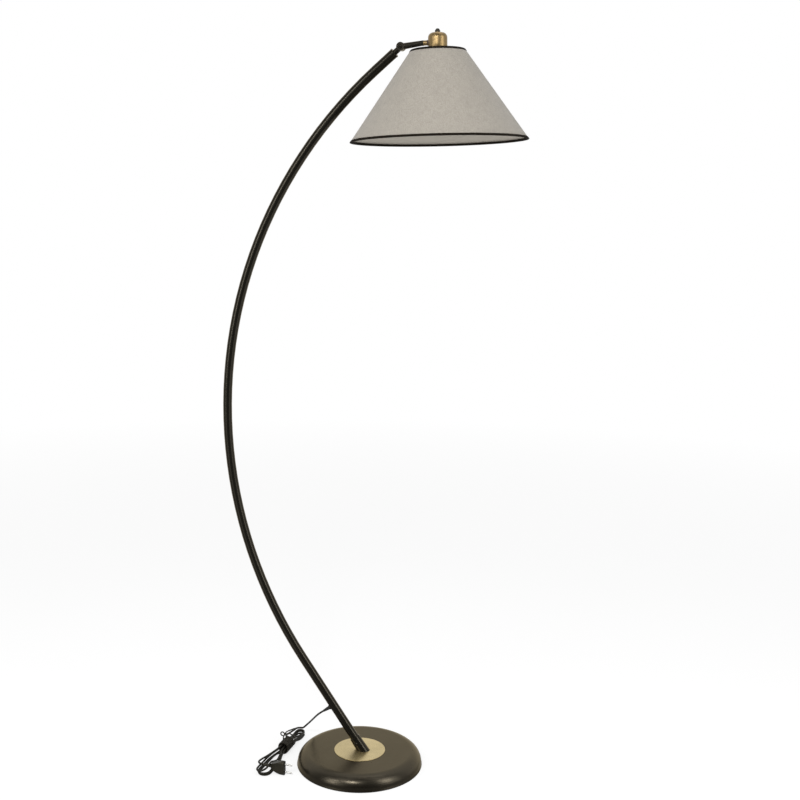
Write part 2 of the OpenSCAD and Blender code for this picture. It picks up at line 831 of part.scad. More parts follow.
// The contact sleeve is pressed with three turns of a round thread
module lampholder_sleeve() {
    color(brass) on_cup() translate([0, 0, insert_bottom - sleeve_len]) {
        ring(sleeve_r, sleeve_r - sleeve_wall, sleeve_len);
        for (k = [1 : 3]) translate([0, 0, sleeve_len - 5 * k - 1])
            rotate_extrude() translate([sleeve_r - 0.3, 0]) circle(r = 0.6, $fn = 16);
    }
}

module centre_contact() {
    color(brass) on_cup() translate([0, 0, insert_bottom - contact_t]) {
        cylinder(r = 1.5, h = contact_t + 1.5);
        cylinder(r1 = 2.2, r2 = 3.4, h = contact_t);
    }
}

module shade_ring_nut() {
    color(bakelite) on_cup() translate([0, 0, fitter_top - fitter_t - ring_nut_h]) difference() {
        union() {
            translate([0, 0, 1]) cylinder(r = ring_nut_r, h = ring_nut_h - 1);
            cylinder(r1 = ring_nut_r - 1, r2 = ring_nut_r, h = 1);
        }
        translate([0, 0, -1]) cylinder(r = skirt_r, h = ring_nut_h + 2);
        for (k = [0 : 23]) rotate([0, 0, 15 * k]) translate([ring_nut_r + 0.6, 0, -1])
            cylinder(r = 1.3, h = ring_nut_h + 2, $fn = 16);
    }
}

// Cord

// How far a run has left the waist: 0 under the binding, 1 along the folds
function out(y) = ease((abs(y - waist_y) - waist_in) / (waist_out - waist_in));
function lift(y) = waist_lift * (1 - out(y));
function level_z(level) = cord_r + level * layer;
function run_x(y, fold, half, side) =
    hank_x + side * half + out(y) * (fold + side * (y > waist_y ? top_r : fold_r) - hank_x - side * half);

// The top loop rides over the plug's relief: its height against the way from there
function hump_at(way) = abs(way) < hump_half ? hump * (1 + cos(180 * way / hump_half)) / 2 : 0;

// Points of a left run that climbs from a level to the next
function left_run(n, from, to, count) = [
    for (k = [1 : count - 1])
        let (y = from + (to - from) * k / count, rise = ease((climb_half - y + waist_y) / (2 * climb_half)),
             fold = y > waist_y ? fold_up[n][0] : fold_low[min(n + 1, 2)][0])
        [run_x(y, fold, waist_half[n], -1), y, level_z(n + rise) + lift(y)]
];

// Points of a right run, all on one level
function right_run(n, count) = [
    for (k = [1 : count - 1])
        let (y = fold_low[n][1] + (fold_up[n][1] - fold_low[n][1]) * k / count,
             fold = y > waist_y ? fold_up[n][0] : fold_low[n][0])
        [run_x(y, fold, waist_half[n], 1), y, level_z(n) + lift(y) + (n == 2 ? hump_at(y - plug_y) : 0)]
];

function upper_fold(n, from) = [
    for (k = [0 : 6])
        let (a = from + (180 - from) * k / 6)
        [fold_up[n][0] + top_r * cos(a), fold_up[n][1] + top_r * sin(a), level_z(n)]
];

function lower_fold(n) = [
    for (k = [0 : 6])
        let (a = 180 + 30 * k, way = fold_low[n][1] - plug_y - fold_r * (360 - a) * PI / 180)
        [fold_low[n][0] + fold_r * cos(a), fold_low[n][1] + fold_r * sin(a),
         level_z(n) + (n == 2 ? hump_at(way) : 0)]
];

// The binding: an oval spiral round the waist, from the top round to the floor
bind_z = (bind_top + bind_low) / 2;
bind_b = (bind_top - bind_low) / 2;
bind_end = bind_start - bind_step * bind_turns;
function binding() = [
    for (k = [0 : 24 * bind_turns])
        let (a = 90 + 15 * k)
        [hank_x - bind_a * cos(a), bind_start - bind_step * k / 24, bind_z + bind_b * sin(a)]
];

hank_way = [-sin(lead_in), cos(lead_in), 0];
hank_start = [fold_up[3][0] + top_r * cos(lead_in), fold_up[3][1] + top_r * sin(lead_in), level_z(3)]
    - cord_d * hank_way;
over = [for (k = [1 : 7]) bezier(
    [fold_up[3][0] - top_r, fold_up[3][1], level_z(3)], over_a, over_b,
    [hank_x, bind_start, bind_top], k / 8)];
under = [for (k = [1 : 6]) bezier(
    [hank_x, bind_end, bind_low], under_a, under_b,
    [run_x(under_y, fold_low[0][0], 0, -1), under_y, cord_r], k / 6)];
hank_body = concat(
    [hank_start], upper_fold(3, lead_in), over, binding(), under,
    lower_fold(0), right_run(0, 9), upper_fold(0, 0), left_run(0, fold_up[0][1], fold_low[1][1], 9),
    lower_fold(1), right_run(1, 9), upper_fold(1, 0), left_run(1, fold_up[1][1], fold_low[2][1], 9),
    lower_fold(2), right_run(2, 12), upper_fold(2, 0), left_run(2, fold_up[2][1], tail_y, 7));
tail_way = unit(hank_body[len(hank_body) - 1] - hank_body[len(hank_body) - 2]);
hank = concat(hank_body, [hank_body[len(hank_body) - 1] + cord_d * tail_way]);

relief_tip = [foot_x, 0, disc_top] + cord_exit * [-sin(foot_lean), 0, cos(foot_lean)]
    - (tube_r + stem_relief_len) * [cos(foot_lean), 0, sin(foot_lean)];
lead = concat(
    [relief_tip, relief_tip - 2 * cord_d * [cos(foot_lean), 0, sin(foot_lean)]],
    lead_route,
    [hank_start - cord_d * hank_way, hank_start]);
tail = concat(
    [hank[len(hank) - 1], hank[len(hank) - 1] + cord_d * tail_way],
    tail_route,
    [[relief_x - 4, plug_y, plug_z], [relief_x, plug_y, plug_z]]);

// Length of a line of points, and the least way from a point to a line
function length(p) = sum([for (i = [1 : len(p) - 1]) norm(p[i] - p[i - 1])]);
function sum(v) = v * [for (x = v) 1];
function to_line(p, a, b) =
    let (t = min(1, max(0, (p - a) * (b - a) / ((b - a) * (b - a))))) norm(p - a - t * (b - a));
// Least gap of a tube to itself, leaving out what is within a way along it
function own_gap(p, skip) =
    let (at = [for (i = 0, s = 0; i < len(p); i = i + 1, s = i < len(p) ? s + norm(p[i] - p[i - 1]) : s) s])
    min([for (i = [0 : len(p) - 1], j = [0 : len(p) - 2])
        if (at[j] - at[i] > skip || at[i] - at[j + 1] > skip) to_line(p[i], p[j], p[j + 1])]) - cord_d;
function gap(p, q) =
    min([for (i = [0 : len(p) - 1], j = [0 : len(q) - 2]) to_line(p[i], q[j], q[j + 1])]) - cord_d;
// Tightest bend, as the radius through three points in turn
function bend_at(a, b, c) = let (area = norm(cross(b - a, c - a)))
    area < 0.001 ? 10000 : norm(b - a) * norm(c - b) * norm(c - a) / (2 * area);
function tightest(p) = min([for (i = [1 : len(p) - 2]) bend_at(p[i - 1], p[i], p[i + 1])]);
echo(hank_gap = own_gap(hank, 4 * cord_d), hank_points = len(hank));
echo(lead_gap = gap([for (i = [0 : len(lead) - 3]) lead[i]], hank));
echo(tail_gap = gap([for (i = [2 : len(tail) - 1]) tail[i]], [for (i = [0 : len(hank) - 4]) hank[i]]));
echo(hank_bend = tightest(hank), lead_bend = tightest(lead), tail_bend = tightest(tail));
echo(cord_length = length(lead) + length(hank) + length(tail), hank_length = length(hank));
echo(lowest = min([for (p = concat(lead, hank, tail)) p[2] - cord_r]));

module cord_lead() {
    color(black) tube(lead, cord_r, 8);
}

module cord_hank() {
    color(black) tube(hank, cord_r, 6);
}

module cord_tail() {
    color(black) tube(tail, cord_r, 8);
}

// Wire tie: once round the bundle, a ring, and its loose end over the upper fold
tie_turn = [for (k = [0 : 24]) let (a = tie_from + 15 * k)
    [tie_c[0] - tie_a * cos(a), tie_y + tie_step * k / 24, tie_c[1] + tie_a * sin(a)]];
tie_ring_c = [tie_c[0] - (tie_a + tie_ring_r) * cos(tie_from), tie_c[1] + (tie_a + tie_ring_r) * sin(tie_from)];
tie_ring = [for (k = [1 : 12]) let (a = 30 * k - tie_from)
    [tie_ring_c[0] + tie_ring_r * cos(a), tie_y + tie_step * (1 + k / 12), tie_ring_c[1] + tie_ring_r * sin(a)]];
tie = concat(tie_turn, tie_ring, tie_end);
echo(tie_gap = min([for (i = [0 : len(tie) - 1], j = [0 : len(hank) - 2]) to_line(tie[i], hank[j], hank[j + 1])])
    - cord_r - tie_r);

module cord_tie() {
    color(bakelite) tube(tie, tie_r, 6);
}

// Flat plug, standing on edge with its pins towards the base
module plug_body() {
    tall = plug_face;
    half = plug_t / 2;
    color(bakelite) {
        difference() {
            intersection() {
                translate([plug_face_x, plug_y + half, plug_z]) rotate([90, 0, 0])
                    linear_extrude(height = plug_t)
                    polygon([[0, tall / 2], [-1.5, tall / 2], [-7, tall / 2 - 0.8], [-plug_len, plug_back_h / 2],
                             [-plug_len, -plug_back_h / 2], [-7, 0.8 - tall / 2], [-1.5, -tall / 2],
                             [0, -tall / 2]]);
                translate([plug_back_x - 1, plug_y, plug_z]) rotate([90, 0, 90])
                    linear_extrude(height = plug_len + 1) {
                        for (end = [-1, 1]) translate([0, end * (tall / 2 - half)]) circle(r = half);
                        square([plug_t, tall - plug_t], center = true);
                    }
                translate([plug_face_x, plug_y, plug_z - tall]) linear_extrude(height = 2 * tall)
                    polygon([[0, half - 0.6], [-1.5, half], [-12, half], [-plug_len, half - 1.6],
                             [-plug_len, 1.6 - half], [-12, -half], [-1.5, -half], [0, 0.6 - half]]);
            }
            for (side = [-1, 1]) translate([plug_face_x - pin_seat, plug_y, plug_z + side * pin_gap / 2])
                rotate([0, 90, 0]) cylinder(r = pin_r, h = pin_seat + 1);
        }
        translate([plug_back_x + 1, plug_y, plug_z]) rotate([0, -90, 0])
            ribbed_cone(plug_relief_r, cord_r + 0.9, relief_len + 1);
    }
}

module plug_pins() {
    color(steel) for (side = [-1, 1])
        translate([plug_face_x - pin_seat, plug_y, plug_z + side * pin_gap / 2]) rotate([0, 90, 0]) {
            cylinder(r = pin_r, h = pin_seat + pin_len - 1);
            translate([0, 0, pin_seat + pin_len - 1]) cylinder(r1 = pin_r, r2 = pin_r - 0.8, h = 1);
        }
}

// Shade

// A torus of wire
module wire_ring(radius, z) {
    translate([0, 0, z]) rotate_extrude() translate([radius, 0]) circle(r = wire_r, $fn = 24);
}

module shade_frame() {
    reach = wire_at(top_wire_z);
    run = reach - arm_root;
    rise = top_wire_z - fitter_top + arm_root_drop;
    color(cream) on_cup() {
        wire_ring(reach, top_wire_z);
        translate([0, 0, fitter_top - fitter_t]) ring(fitter_r, fitter_hole, fitter_t);
        for (k = [0 : frame_arms - 1]) rotate([0, 0, 60 + k * 360 / frame_arms])
            translate([arm_root, 0, fitter_top - arm_root_drop]) rotate([0, atan2(run, rise), 0])
            cylinder(r = wire_r, h = norm([run, rise]), $fn = 24);
    }
}

module shade_bottom_wire() {
    color(cream) on_cup() wire_ring(wire_at(bottom_wire_z), bottom_wire_z);
}

// A layer of the shade: a cone between two depths below the outer surface
module shade_layer(outer, inner, top, bottom) {
    wide = sqrt(1 + shade_slope * shade_slope);
    rotate_extrude($fn = 128) polygon([
        [shade_at(top) - inner * wide, top],
        [shade_at(top) - outer * wide, top],
        [shade_at(bottom) - outer * wide, bottom],
        [shade_at(bottom) - inner * wide, bottom]
    ]);
}

module shade_fabric() {
    color(fabric) on_cup()
        shade_layer(trim_t, trim_t + fabric_t, shade_top - trim_t, shade_bottom + trim_t);
}

module shade_liner() {
    color(fabric) on_cup()
        shade_layer(trim_t + fabric_t, trim_t + skin_t, shade_top - trim_t, shade_bottom + trim_t);
}

// Each trim is a band outside the fabric with a lip over the edge and the rim wire
module shade_trim_top() {
    color(trim) on_cup() {
        shade_layer(0, trim_t, shade_top, shade_top - trim_h);
        shade_layer(0, trim_lip, shade_top, shade_top - trim_t);
    }
}

// The lower trim is folded inwards over its rim wire, and its edge turns back to the lining
module shade_trim_bottom() {
    color(trim) on_cup() {
        shade_layer(0, trim_t, shade_bottom + trim_h, shade_bottom);
        shade_layer(0, trim_back + trim_t, shade_bottom + trim_t, shade_bottom);
        shade_layer(trim_back, trim_back + trim_t, shade_bottom + trim_h, shade_bottom);
        shade_layer(trim_t + skin_t, trim_back + trim_t, shade_bottom + trim_h, shade_bottom + trim_h - trim_t);
    }
}

// Bulb

module bulb_cap() {
    color(steel) on_cup() translate([0, 0, cap_bottom]) {
        cylinder(r = bulb_cap_r - 0.4, h = cap_len - 3);
        for (k = [0 : 4]) translate([0, 0, 5 + 3.6 * k])
            rotate_extrude() translate([bulb_cap_r - 0.9, 0]) circle(r = 0.9, $fn = 16);
        translate([0, 0, cap_len - 3]) cylinder(r1 = bulb_cap_r - 0.4, r2 = 5, h = 2);
        translate([0, 0, cap_len - 1.5]) cylinder(r = 4.5, h = 1.5);
    }
}

// Half section of the glass at a depth below its surface: a ball and a neck joined by a tangent cone
module bulb_section(depth) {
    ball_z = glass_bottom + bulb_r;
    neck_z = cap_bottom;
    neck = bulb_cap_r - 1;
    far = norm([neck_z - ball_z, neck]);
    lean = asin(bulb_r / far) - atan2(neck, neck_z - ball_z);
    intersection() {
        translate([0, ball_z]) circle(r = bulb_r - depth);
        translate([0, ball_z - bulb_r]) square([bulb_r, 2 * bulb_r]);
    }
    polygon([
        [0, ball_z],
        [(bulb_r - depth) * cos(lean), ball_z + (bulb_r - depth) * sin(lean)],
        [neck - depth, neck_z],
        [0, neck_z]
    ]);
}

module bulb_glass() {
    color("#f4f1e8") on_cup() difference() {
        rotate_extrude() bulb_section(0);
        rotate_extrude() bulb_section(1);
    }
}

base_cover();
base_ballast();
base_pad();
base_disc();
stem_socket();
socket_screw();
base_stud();
stud_washer();
stud_nut();
stem_tube();
stem_end_plug();
stem_wire();
cord_relief();
cord_lead();
cord_hank();
cord_tail();
cord_tie();
plug_body();
plug_pins();
knuckle_neck();
knuckle_screw();
knuckle_washer();
knuckle_nut();
arm();
arm_wire();
nipple();
nipple_washer();
nipple_nut();
cup();
switch_body();
switch_washer();
switch_bezel();
push_button();
lampholder_body();
lampholder_insert();
lampholder_sleeve();
centre_contact();
shade_ring_nut();
shade_frame();
shade_bottom_wire();
shade_fabric();
shade_liner();
shade_trim_top();
shade_trim_bottom();
bulb_cap();
bulb_glass();
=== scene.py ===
"""Looks of the bridge floor lamp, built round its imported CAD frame. Metres, +Z up."""

import math

import bpy
import numpy as np
from mathutils import Matrix, Vector


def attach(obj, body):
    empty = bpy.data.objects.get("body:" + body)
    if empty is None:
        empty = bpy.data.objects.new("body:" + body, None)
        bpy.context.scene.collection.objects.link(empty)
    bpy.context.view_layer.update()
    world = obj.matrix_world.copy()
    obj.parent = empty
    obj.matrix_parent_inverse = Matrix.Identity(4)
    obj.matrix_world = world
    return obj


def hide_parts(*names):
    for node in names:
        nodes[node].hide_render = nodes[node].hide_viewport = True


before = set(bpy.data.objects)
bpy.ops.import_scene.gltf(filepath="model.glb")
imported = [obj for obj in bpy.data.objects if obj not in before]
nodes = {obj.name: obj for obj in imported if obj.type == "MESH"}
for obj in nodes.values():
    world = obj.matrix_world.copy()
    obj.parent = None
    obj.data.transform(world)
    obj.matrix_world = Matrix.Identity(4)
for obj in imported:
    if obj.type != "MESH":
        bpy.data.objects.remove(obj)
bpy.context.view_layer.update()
MM = 0.001


# ---------------------------------------------------------------- camera

IMAGE = 800
FOCAL_PX = 1174.5
SENSOR = 36.0
EYE = (0.87373, -2.49885, 1.33932)
HEADING, PITCH, ROLL = math.radians(17.53), math.radians(9.67), math.radians(1.12)


def make_camera():
    data = bpy.data.cameras.new("camera")
    data.sensor_width = SENSOR
    data.lens = FOCAL_PX * SENSOR / IMAGE
    cam = bpy.data.objects.new("camera", data)
    bpy.context.scene.collection.objects.link(cam)
    right = Vector((math.cos(HEADING), math.sin(HEADING), 0))
    level = Vector((-math.sin(HEADING), math.cos(HEADING), 0))
    ahead = level * math.cos(PITCH) - Vector((0, 0, math.sin(PITCH)))
    up = right.cross(ahead)
    x = right * math.cos(ROLL) + up * math.sin(ROLL)
    y = up * math.cos(ROLL) - right * math.sin(ROLL)
    turn = Matrix((x, y, -ahead)).transposed()
    cam.matrix_world = Matrix.Translation(EYE) @ turn.to_4x4()
    bpy.context.scene.camera = cam


make_camera()
bpy.context.scene.view_settings.view_transform = "Standard"


# ---------------------------------------------------------------- meshes


def add_mesh(name, verts, faces, body, smooth=True, uv=None):
    """A new piece in the row frame, in metres, riding on a CAD body. uv is one pair for each vertex."""
    mesh = bpy.data.meshes.new(name)
    mesh.from_pydata([tuple(map(float, v)) for v in verts], [], faces)
    mesh.validate()
    if uv is not None:
        layer = mesh.uv_layers.new(name="flat")
        for loop in mesh.loops:
            layer.data[loop.index].uv = uv[loop.vertex_index]
    mesh.polygons.foreach_set("use_smooth", [smooth] * len(mesh.polygons))
    obj = bpy.data.objects.new(name, mesh)
    bpy.context.scene.collection.objects.link(obj)
    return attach(obj, body)


def unit(v):
    """The vector at length one."""
    return v / np.linalg.norm(v)


def headings(p):
    """The direction of the line through the points p, at each of them."""
    step = np.diff(p, axis=0)
    step /= np.linalg.norm(step, axis=1)[:, None]
    t = np.vstack([step[:1], step[:-1] + step[1:], step[-1:]])
    return t / np.linalg.norm(t, axis=1)[:, None]


def smooth_line(p, parts):
    """Points on a centripetal Catmull-Rom curve through p, with so many parts to each stretch."""
    p = np.asarray(p, float)
    q = np.vstack([2 * p[0] - p[1], p, 2 * p[-1] - p[-2]])
    out = []
    for i in range(1, len(q) - 2):
        a, b, c, d = q[i - 1 : i + 3]
        t0, t1 = 0.0, np.linalg.norm(b - a) ** 0.5
        t2 = t1 + np.linalg.norm(c - b) ** 0.5
        t3 = t2 + np.linalg.norm(d - c) ** 0.5
        for k in range(parts):
            t = t1 + (t2 - t1) * k / parts
            ab = ((t1 - t) * a + (t - t0) * b) / (t1 - t0)
            bc = ((t2 - t) * b + (t - t1) * c) / (t2 - t1)
            cd = ((t3 - t) * c + (t - t2) * d) / (t3 - t2)
            abc = ((t2 - t) * ab + (t - t0) * bc) / (t2 - t0)
            bcd = ((t3 - t) * bc + (t - t1) * cd) / (t3 - t1)
            out.append(((t2 - t) * abc + (t - t1) * bcd) / (t2 - t1))
    out.append(p[-1])
    return np.array(out)


def tube_mesh(p, radii, sides):
    """Vertices, faces and (round, along) coordinates of a closed tube along the points p."""
    p = np.asarray(p, float)
    radii = np.broadcast_to(radii, len(p))
    t = headings(p)
    u = unit(np.cross(t[0], (0.1, 0.2, 1.0)))
    along = np.concatenate([[0], np.cumsum(np.linalg.norm(np.diff(p, axis=0), axis=1))])
    verts, uv, faces = [], [], []
    for i in range(len(p)):
        u = unit(u - u.dot(t[i]) * t[i])
        w = np.cross(t[i], u)
        for k in range(sides):
            a = 2 * math.pi * k / sides
            verts.append(p[i] + radii[i] * (math.cos(a) * u + math.sin(a) * w))
            uv.append((k / sides, along[i]))
    for i in range(len(p) - 1):
        for k in range(sides):
            a, b = i * sides + k, i * sides + (k + 1) % sides
            faces.append((a, b, b + sides, a + sides))
    faces.append(tuple(reversed(range(sides))))
    last = (len(p) - 1) * sides
    faces.append(tuple(range(last, last + sides)))
    return verts, faces, uv


def swept_faces(around, n):
    """The quads of a closed section of n points that is swept once round and meets itself."""
    faces = []
    for i in range(around):
        for k in range(n):
            a, b = i * n + k, (i + 1) % around * n + k
            c, d = i * n + (k + 1) % n, (i + 1) % around * n + (k + 1) % n
            faces.append((a, b, d, c))
    return faces


# ---------------------------------------------------------------- the power cord
# The route of part.scad: its own points, its folds and its binding, in millimetres.

CORD_D = 4.6
CORD_R = CORD_D / 2
LAYER = CORD_D + 0.6
BIND_STEP = CORD_D + 0.8
FOLD_R, TOP_R = 3 * CORD_D, 2 * CORD_D
HANK_X, WAIST_Y, WAIST_IN, WAIST_OUT = -190, -5, 25, 72
WAIST_HALF = (3, 6.5, 2.6)
WAIST_LIFT = CORD_D + 1.8
FOLD_UP = ((-188.5, 83), (-189, 84), (-188, 81), (-191, 81))
FOLD_LOW = ((-192, -126), (-192.5, -129), (-195, -131))
BIND_TURNS, BIND_START = 6.5, 12
BIND_A = WAIST_HALF[1] + CORD_D + 1.2
BIND_TOP = CORD_R + 2.5 * LAYER + WAIST_LIFT + CORD_D + 2
BIND_LOW = CORD_R + 0.1
LEAD_IN, TAIL_Y = 110, -62
HUMP, HUMP_HALF, CLIMB_HALF = 11.9, 42, 62
OVER_A, OVER_B = (-201.5, 46, 21), (-208, 12, 28.8)
UNDER_A, UNDER_B, UNDER_Y = (-209, -22.5, 2.3), (-205, -50, 2.3), -84
# The hank's layers: steps of the run up the right side, where the run down the left ends, and its steps
LAYERS = ((9, FOLD_LOW[1][1], 9), (9, FOLD_LOW[2][1], 9), (12, TAIL_Y, 7))
FOLD_STEPS, BIND_STEPS, OVER_STEPS, UNDER_STEPS = 6, 24, 8, 6
LEAD_ROUTE = (
    (-109.6, 6.1, 104.1), (-117.2, 15.4, 95.7), (-124.3, 25.3, 87.5), (-131.1, 35.4, 79.4),
    (-137.9, 45.6, 71.2), (-144.7, 55.7, 63), (-151.6, 65.6, 54.7), (-158.8, 75.1, 46.2),
    (-166.6, 83.8, 37.3), (-175.2, 90.9, 27.8),
)
TAIL_ROUTE = (
    (-206.5, -76, 18.5), (-210, -86, 18), (-213.5, -95.5, 17.5), (-215.5, -104.5, 17),
    (-214, -112, 17.6), (-209, -117.5, 18),
)
FOOT_X, DISC_TOP, FOOT_LEAN, CORD_EXIT = 7.5, 34.5, 36.5, 127
TUBE_R, STEM_RELIEF_LEN = 10.5, 20
PLUG_FACE_X, PLUG_Y, PLUG_Z, PLUG_LEN, RELIEF_LEN = -144.5, -119.5, 17.5, 33, 20
RELIEF_LEAD = 4
LINE_PARTS, CORD_SIDES, TIE_SIDES = 3, 14, 10


def ease(t):
    """A soft step from 0 to 1."""
    u = min(1, max(0, t))
    return u * u * (3 - 2 * u)


def out(y):
    """How far the turns have spread: 0 in the bound waist, 1 where they lie free."""
    return ease((abs(y - WAIST_Y) - WAIST_IN) / (WAIST_OUT - WAIST_IN))


def lift(y):
    """How far the turns are raised in the waist, where the binding passes under them."""
    return WAIST_LIFT * (1 - out(y))


def level_z(level):
    """The height of a layer of the hank."""
    return CORD_R + level * LAYER


def run_x(y, fold, half, side):
    """Where a run lies across the hank, between its place in the waist and its fold's side."""
    reach = TOP_R if y > WAIST_Y else FOLD_R
    return HANK_X + side * half + out(y) * (fold + side * reach - HANK_X - side * half)


def hump_at(way):
    """The rise of the top layer over the tail, by the distance from their crossing."""
    return HUMP * (1 + math.cos(math.pi * way / HUMP_HALF)) / 2 if abs(way) < HUMP_HALF else 0


def bezier(a, b, c, d, t):
    """A point of a cubic Bezier curve."""
    a, b, c, d = (np.array(x, float) for x in (a, b, c, d))
    return (1 - t) ** 3 * a + 3 * t * (1 - t) ** 2 * b + 3 * t * t * (1 - t) * c + t**3 * d


def left_run(n, start, end, count):
    """A run down the left side, which climbs to the next layer."""
    for k in range(1, count):
        y = start + (end - start) * k / count
        rise = ease((CLIMB_HALF - y + WAIST_Y) / (2 * CLIMB_HALF))
        fold = FOLD_UP[n][0] if y > WAIST_Y else FOLD_LOW[min(n + 1, 2)][0]
        yield run_x(y, fold, WAIST_HALF[n], -1), y, level_z(n + rise) + lift(y)


def right_run(n, count):
    """A run up the right side of a layer."""
    for k in range(1, count):
        y = FOLD_LOW[n][1] + (FOLD_UP[n][1] - FOLD_LOW[n][1]) * k / count
        fold = FOLD_UP[n][0] if y > WAIST_Y else FOLD_LOW[n][0]
        z = level_z(n) + lift(y) + (hump_at(y - PLUG_Y) if n == 2 else 0)
        yield run_x(y, fold, WAIST_HALF[n], 1), y, z


def upper_fold(n, start):
    """A layer's fold at the far end, from an angle in degrees to its left side."""
    for k in range(FOLD_STEPS + 1):
        a = math.radians(start + (180 - start) * k / FOLD_STEPS)
        yield FOLD_UP[n][0] + TOP_R * math.cos(a), FOLD_UP[n][1] + TOP_R * math.sin(a), level_z(n)


def lower_fold(n):
    """A layer's fold at the near end, from its left side to its right."""
    for k in range(FOLD_STEPS + 1):
        a = math.radians(180 + 180 / FOLD_STEPS * k)
        way = FOLD_LOW[n][1] - PLUG_Y - FOLD_R * (2 * math.pi - a)
        z = level_z(n) + (hump_at(way) if n == 2 else 0)
        yield FOLD_LOW[n][0] + FOLD_R * math.cos(a), FOLD_LOW[n][1] + FOLD_R * math.sin(a), z


def binding():
    """The turns round the waist: an elliptical helix."""
    z, b = (BIND_TOP + BIND_LOW) / 2, (BIND_TOP - BIND_LOW) / 2
    for k in range(int(BIND_STEPS * BIND_TURNS) + 1):
        a = math.radians(90 + 360 / BIND_STEPS * k)
        yield HANK_X - BIND_A * math.cos(a), BIND_START - BIND_STEP * k / BIND_STEPS, z + b * math.sin(a)


def cord_route():
    """The whole cord's points in millimetres, from the strain relief on the stem to the plug's."""
    turn = math.radians(LEAD_IN)
    way = np.array((-math.sin(turn), math.cos(turn), 0))
    fold_x, fold_y = FOLD_UP[3]
    start = np.array((fold_x + TOP_R * math.cos(turn), fold_y + TOP_R * math.sin(turn), level_z(3)))
    start -= CORD_D * way
    top = (HANK_X, BIND_START, BIND_TOP)
    last = (HANK_X, BIND_START - BIND_STEP * BIND_TURNS, BIND_LOW)
    under_end = (run_x(UNDER_Y, FOLD_LOW[0][0], 0, -1), UNDER_Y, CORD_R)
    hank = [start, *upper_fold(3, LEAD_IN)]
    left = (fold_x - TOP_R, fold_y, level_z(3))
    hank += [bezier(left, OVER_A, OVER_B, top, k / OVER_STEPS) for k in range(1, OVER_STEPS)]
    hank += [*binding()]
    under = range(1, UNDER_STEPS + 1)
    hank += [bezier(last, UNDER_A, UNDER_B, under_end, k / UNDER_STEPS) for k in under]
    for n, (right_steps, left_end, left_steps) in enumerate(LAYERS):
        hank += [*lower_fold(n), *right_run(n, right_steps), *upper_fold(n, 0)]
        hank += [*left_run(n, FOLD_UP[n][1], left_end, left_steps)]
    hank = [np.array(p, float) for p in hank]
    tail_way = unit(hank[-1] - hank[-2])
    hank.append(hank[-1] + CORD_D * tail_way)
    lean = math.radians(FOOT_LEAN)
    down = np.array((math.cos(lean), 0, math.sin(lean)))
    tip = np.array((FOOT_X, 0, DISC_TOP)) + CORD_EXIT * np.array((-math.sin(lean), 0, math.cos(lean)))
    tip -= (TUBE_R + STEM_RELIEF_LEN) * down
    relief_x = PLUG_FACE_X - PLUG_LEN - RELIEF_LEN
    lead = [tip, tip - 2 * CORD_D * down, *LEAD_ROUTE, start - CORD_D * way]
    tail = [hank[-1] + CORD_D * tail_way, *TAIL_ROUTE]
    tail += [(relief_x - RELIEF_LEAD, PLUG_Y, PLUG_Z), (relief_x, PLUG_Y, PLUG_Z)]
    return np.array([tuple(p) for p in (*lead, *hank, *tail)], float)


route = smooth_line(cord_route(), LINE_PARTS) * MM
verts, faces, uv = tube_mesh(route, CORD_R * MM, CORD_SIDES)
cord = add_mesh("power_cord", verts, faces, "root", uv=uv)
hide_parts("cord_lead", "cord_hank", "cord_tail")

# The wire tie: once round the bundle, a ring, and its loose end over the upper fold.
# TIE_C is the bundle's centre in X and Z, TIE_A the turn's radius, and TIE_STEP its step along Y.
TIE_R, TIE_RING_R = 1.5, 5.2
TIE_C, TIE_A, TIE_FROM = (-192, 17.9), 16.3, 30
TIE_Y, TIE_STEP = 18, 3
TURN_STEPS, RING_STEPS = 24, 12
TIE_END = (
    (-205, 27, 30.5), (-202, 35, 32), (-198, 46, 31), (-196, 56, 29.5),
    (-194, 66, 27), (-192, 76, 24), (-190, 84, 22),
)


def tie_route():
    """The tie's points in millimetres."""

    def place(reach, k):
        a = math.radians(TIE_FROM + 360 / TURN_STEPS * k)
        return TIE_C[0] - reach * math.cos(a), TIE_C[1] + reach * math.sin(a)

    points = []
    for k in range(TURN_STEPS + 1):
        x, z = place(TIE_A, k)
        points.append((x, TIE_Y + TIE_STEP * k / TURN_STEPS, z))
    ring_x, ring_z = place(TIE_A + TIE_RING_R, 0)
    for k in range(1, RING_STEPS + 1):
        a = math.radians(360 / RING_STEPS * k - TIE_FROM)
        y = TIE_Y + TIE_STEP * (1 + k / RING_STEPS)
        points.append((ring_x + TIE_RING_R * math.cos(a), y, ring_z + TIE_RING_R * math.sin(a)))
    return np.array((*points, *TIE_END), float)


verts, faces, uv = tube_mesh(smooth_line(tie_route(), LINE_PARTS) * MM, TIE_R * MM, TIE_SIDES)
tie = add_mesh("wire_tie", verts, faces, "root", uv=uv)
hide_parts("cord_tie")


# ---------------------------------------------------------------- the shade, in the head's own frame

PIVOT = Vector((71.447, 0, 1664.903)) * MM
HEAD_TILT = math.radians(2.4)
ARM_REACH = 82 * MM
SHADE_TOP_R, SHADE_BOTTOM_R, SHADE_H, SHADE_DROP = 58.6 * MM, 194.4 * MM, 192 * MM, 11 * MM
TRIM_T, TRIM_H, FABRIC_T, LINER_T, WIRE_R = 0.6 * MM, 5 * MM, 0.8 * MM, 0.6 * MM, 1.5 * MM
SLOPE = (SHADE_BOTTOM_R - SHADE_TOP_R) / SHADE_H
WIDE = math.sqrt(1 + SLOPE * SLOPE)
head_frame = Matrix.Translation(PIVOT) @ Matrix.Rotation(-HEAD_TILT, 4, "Y")
head_frame = head_frame @ Matrix.Translation((ARM_REACH, 0, 0))
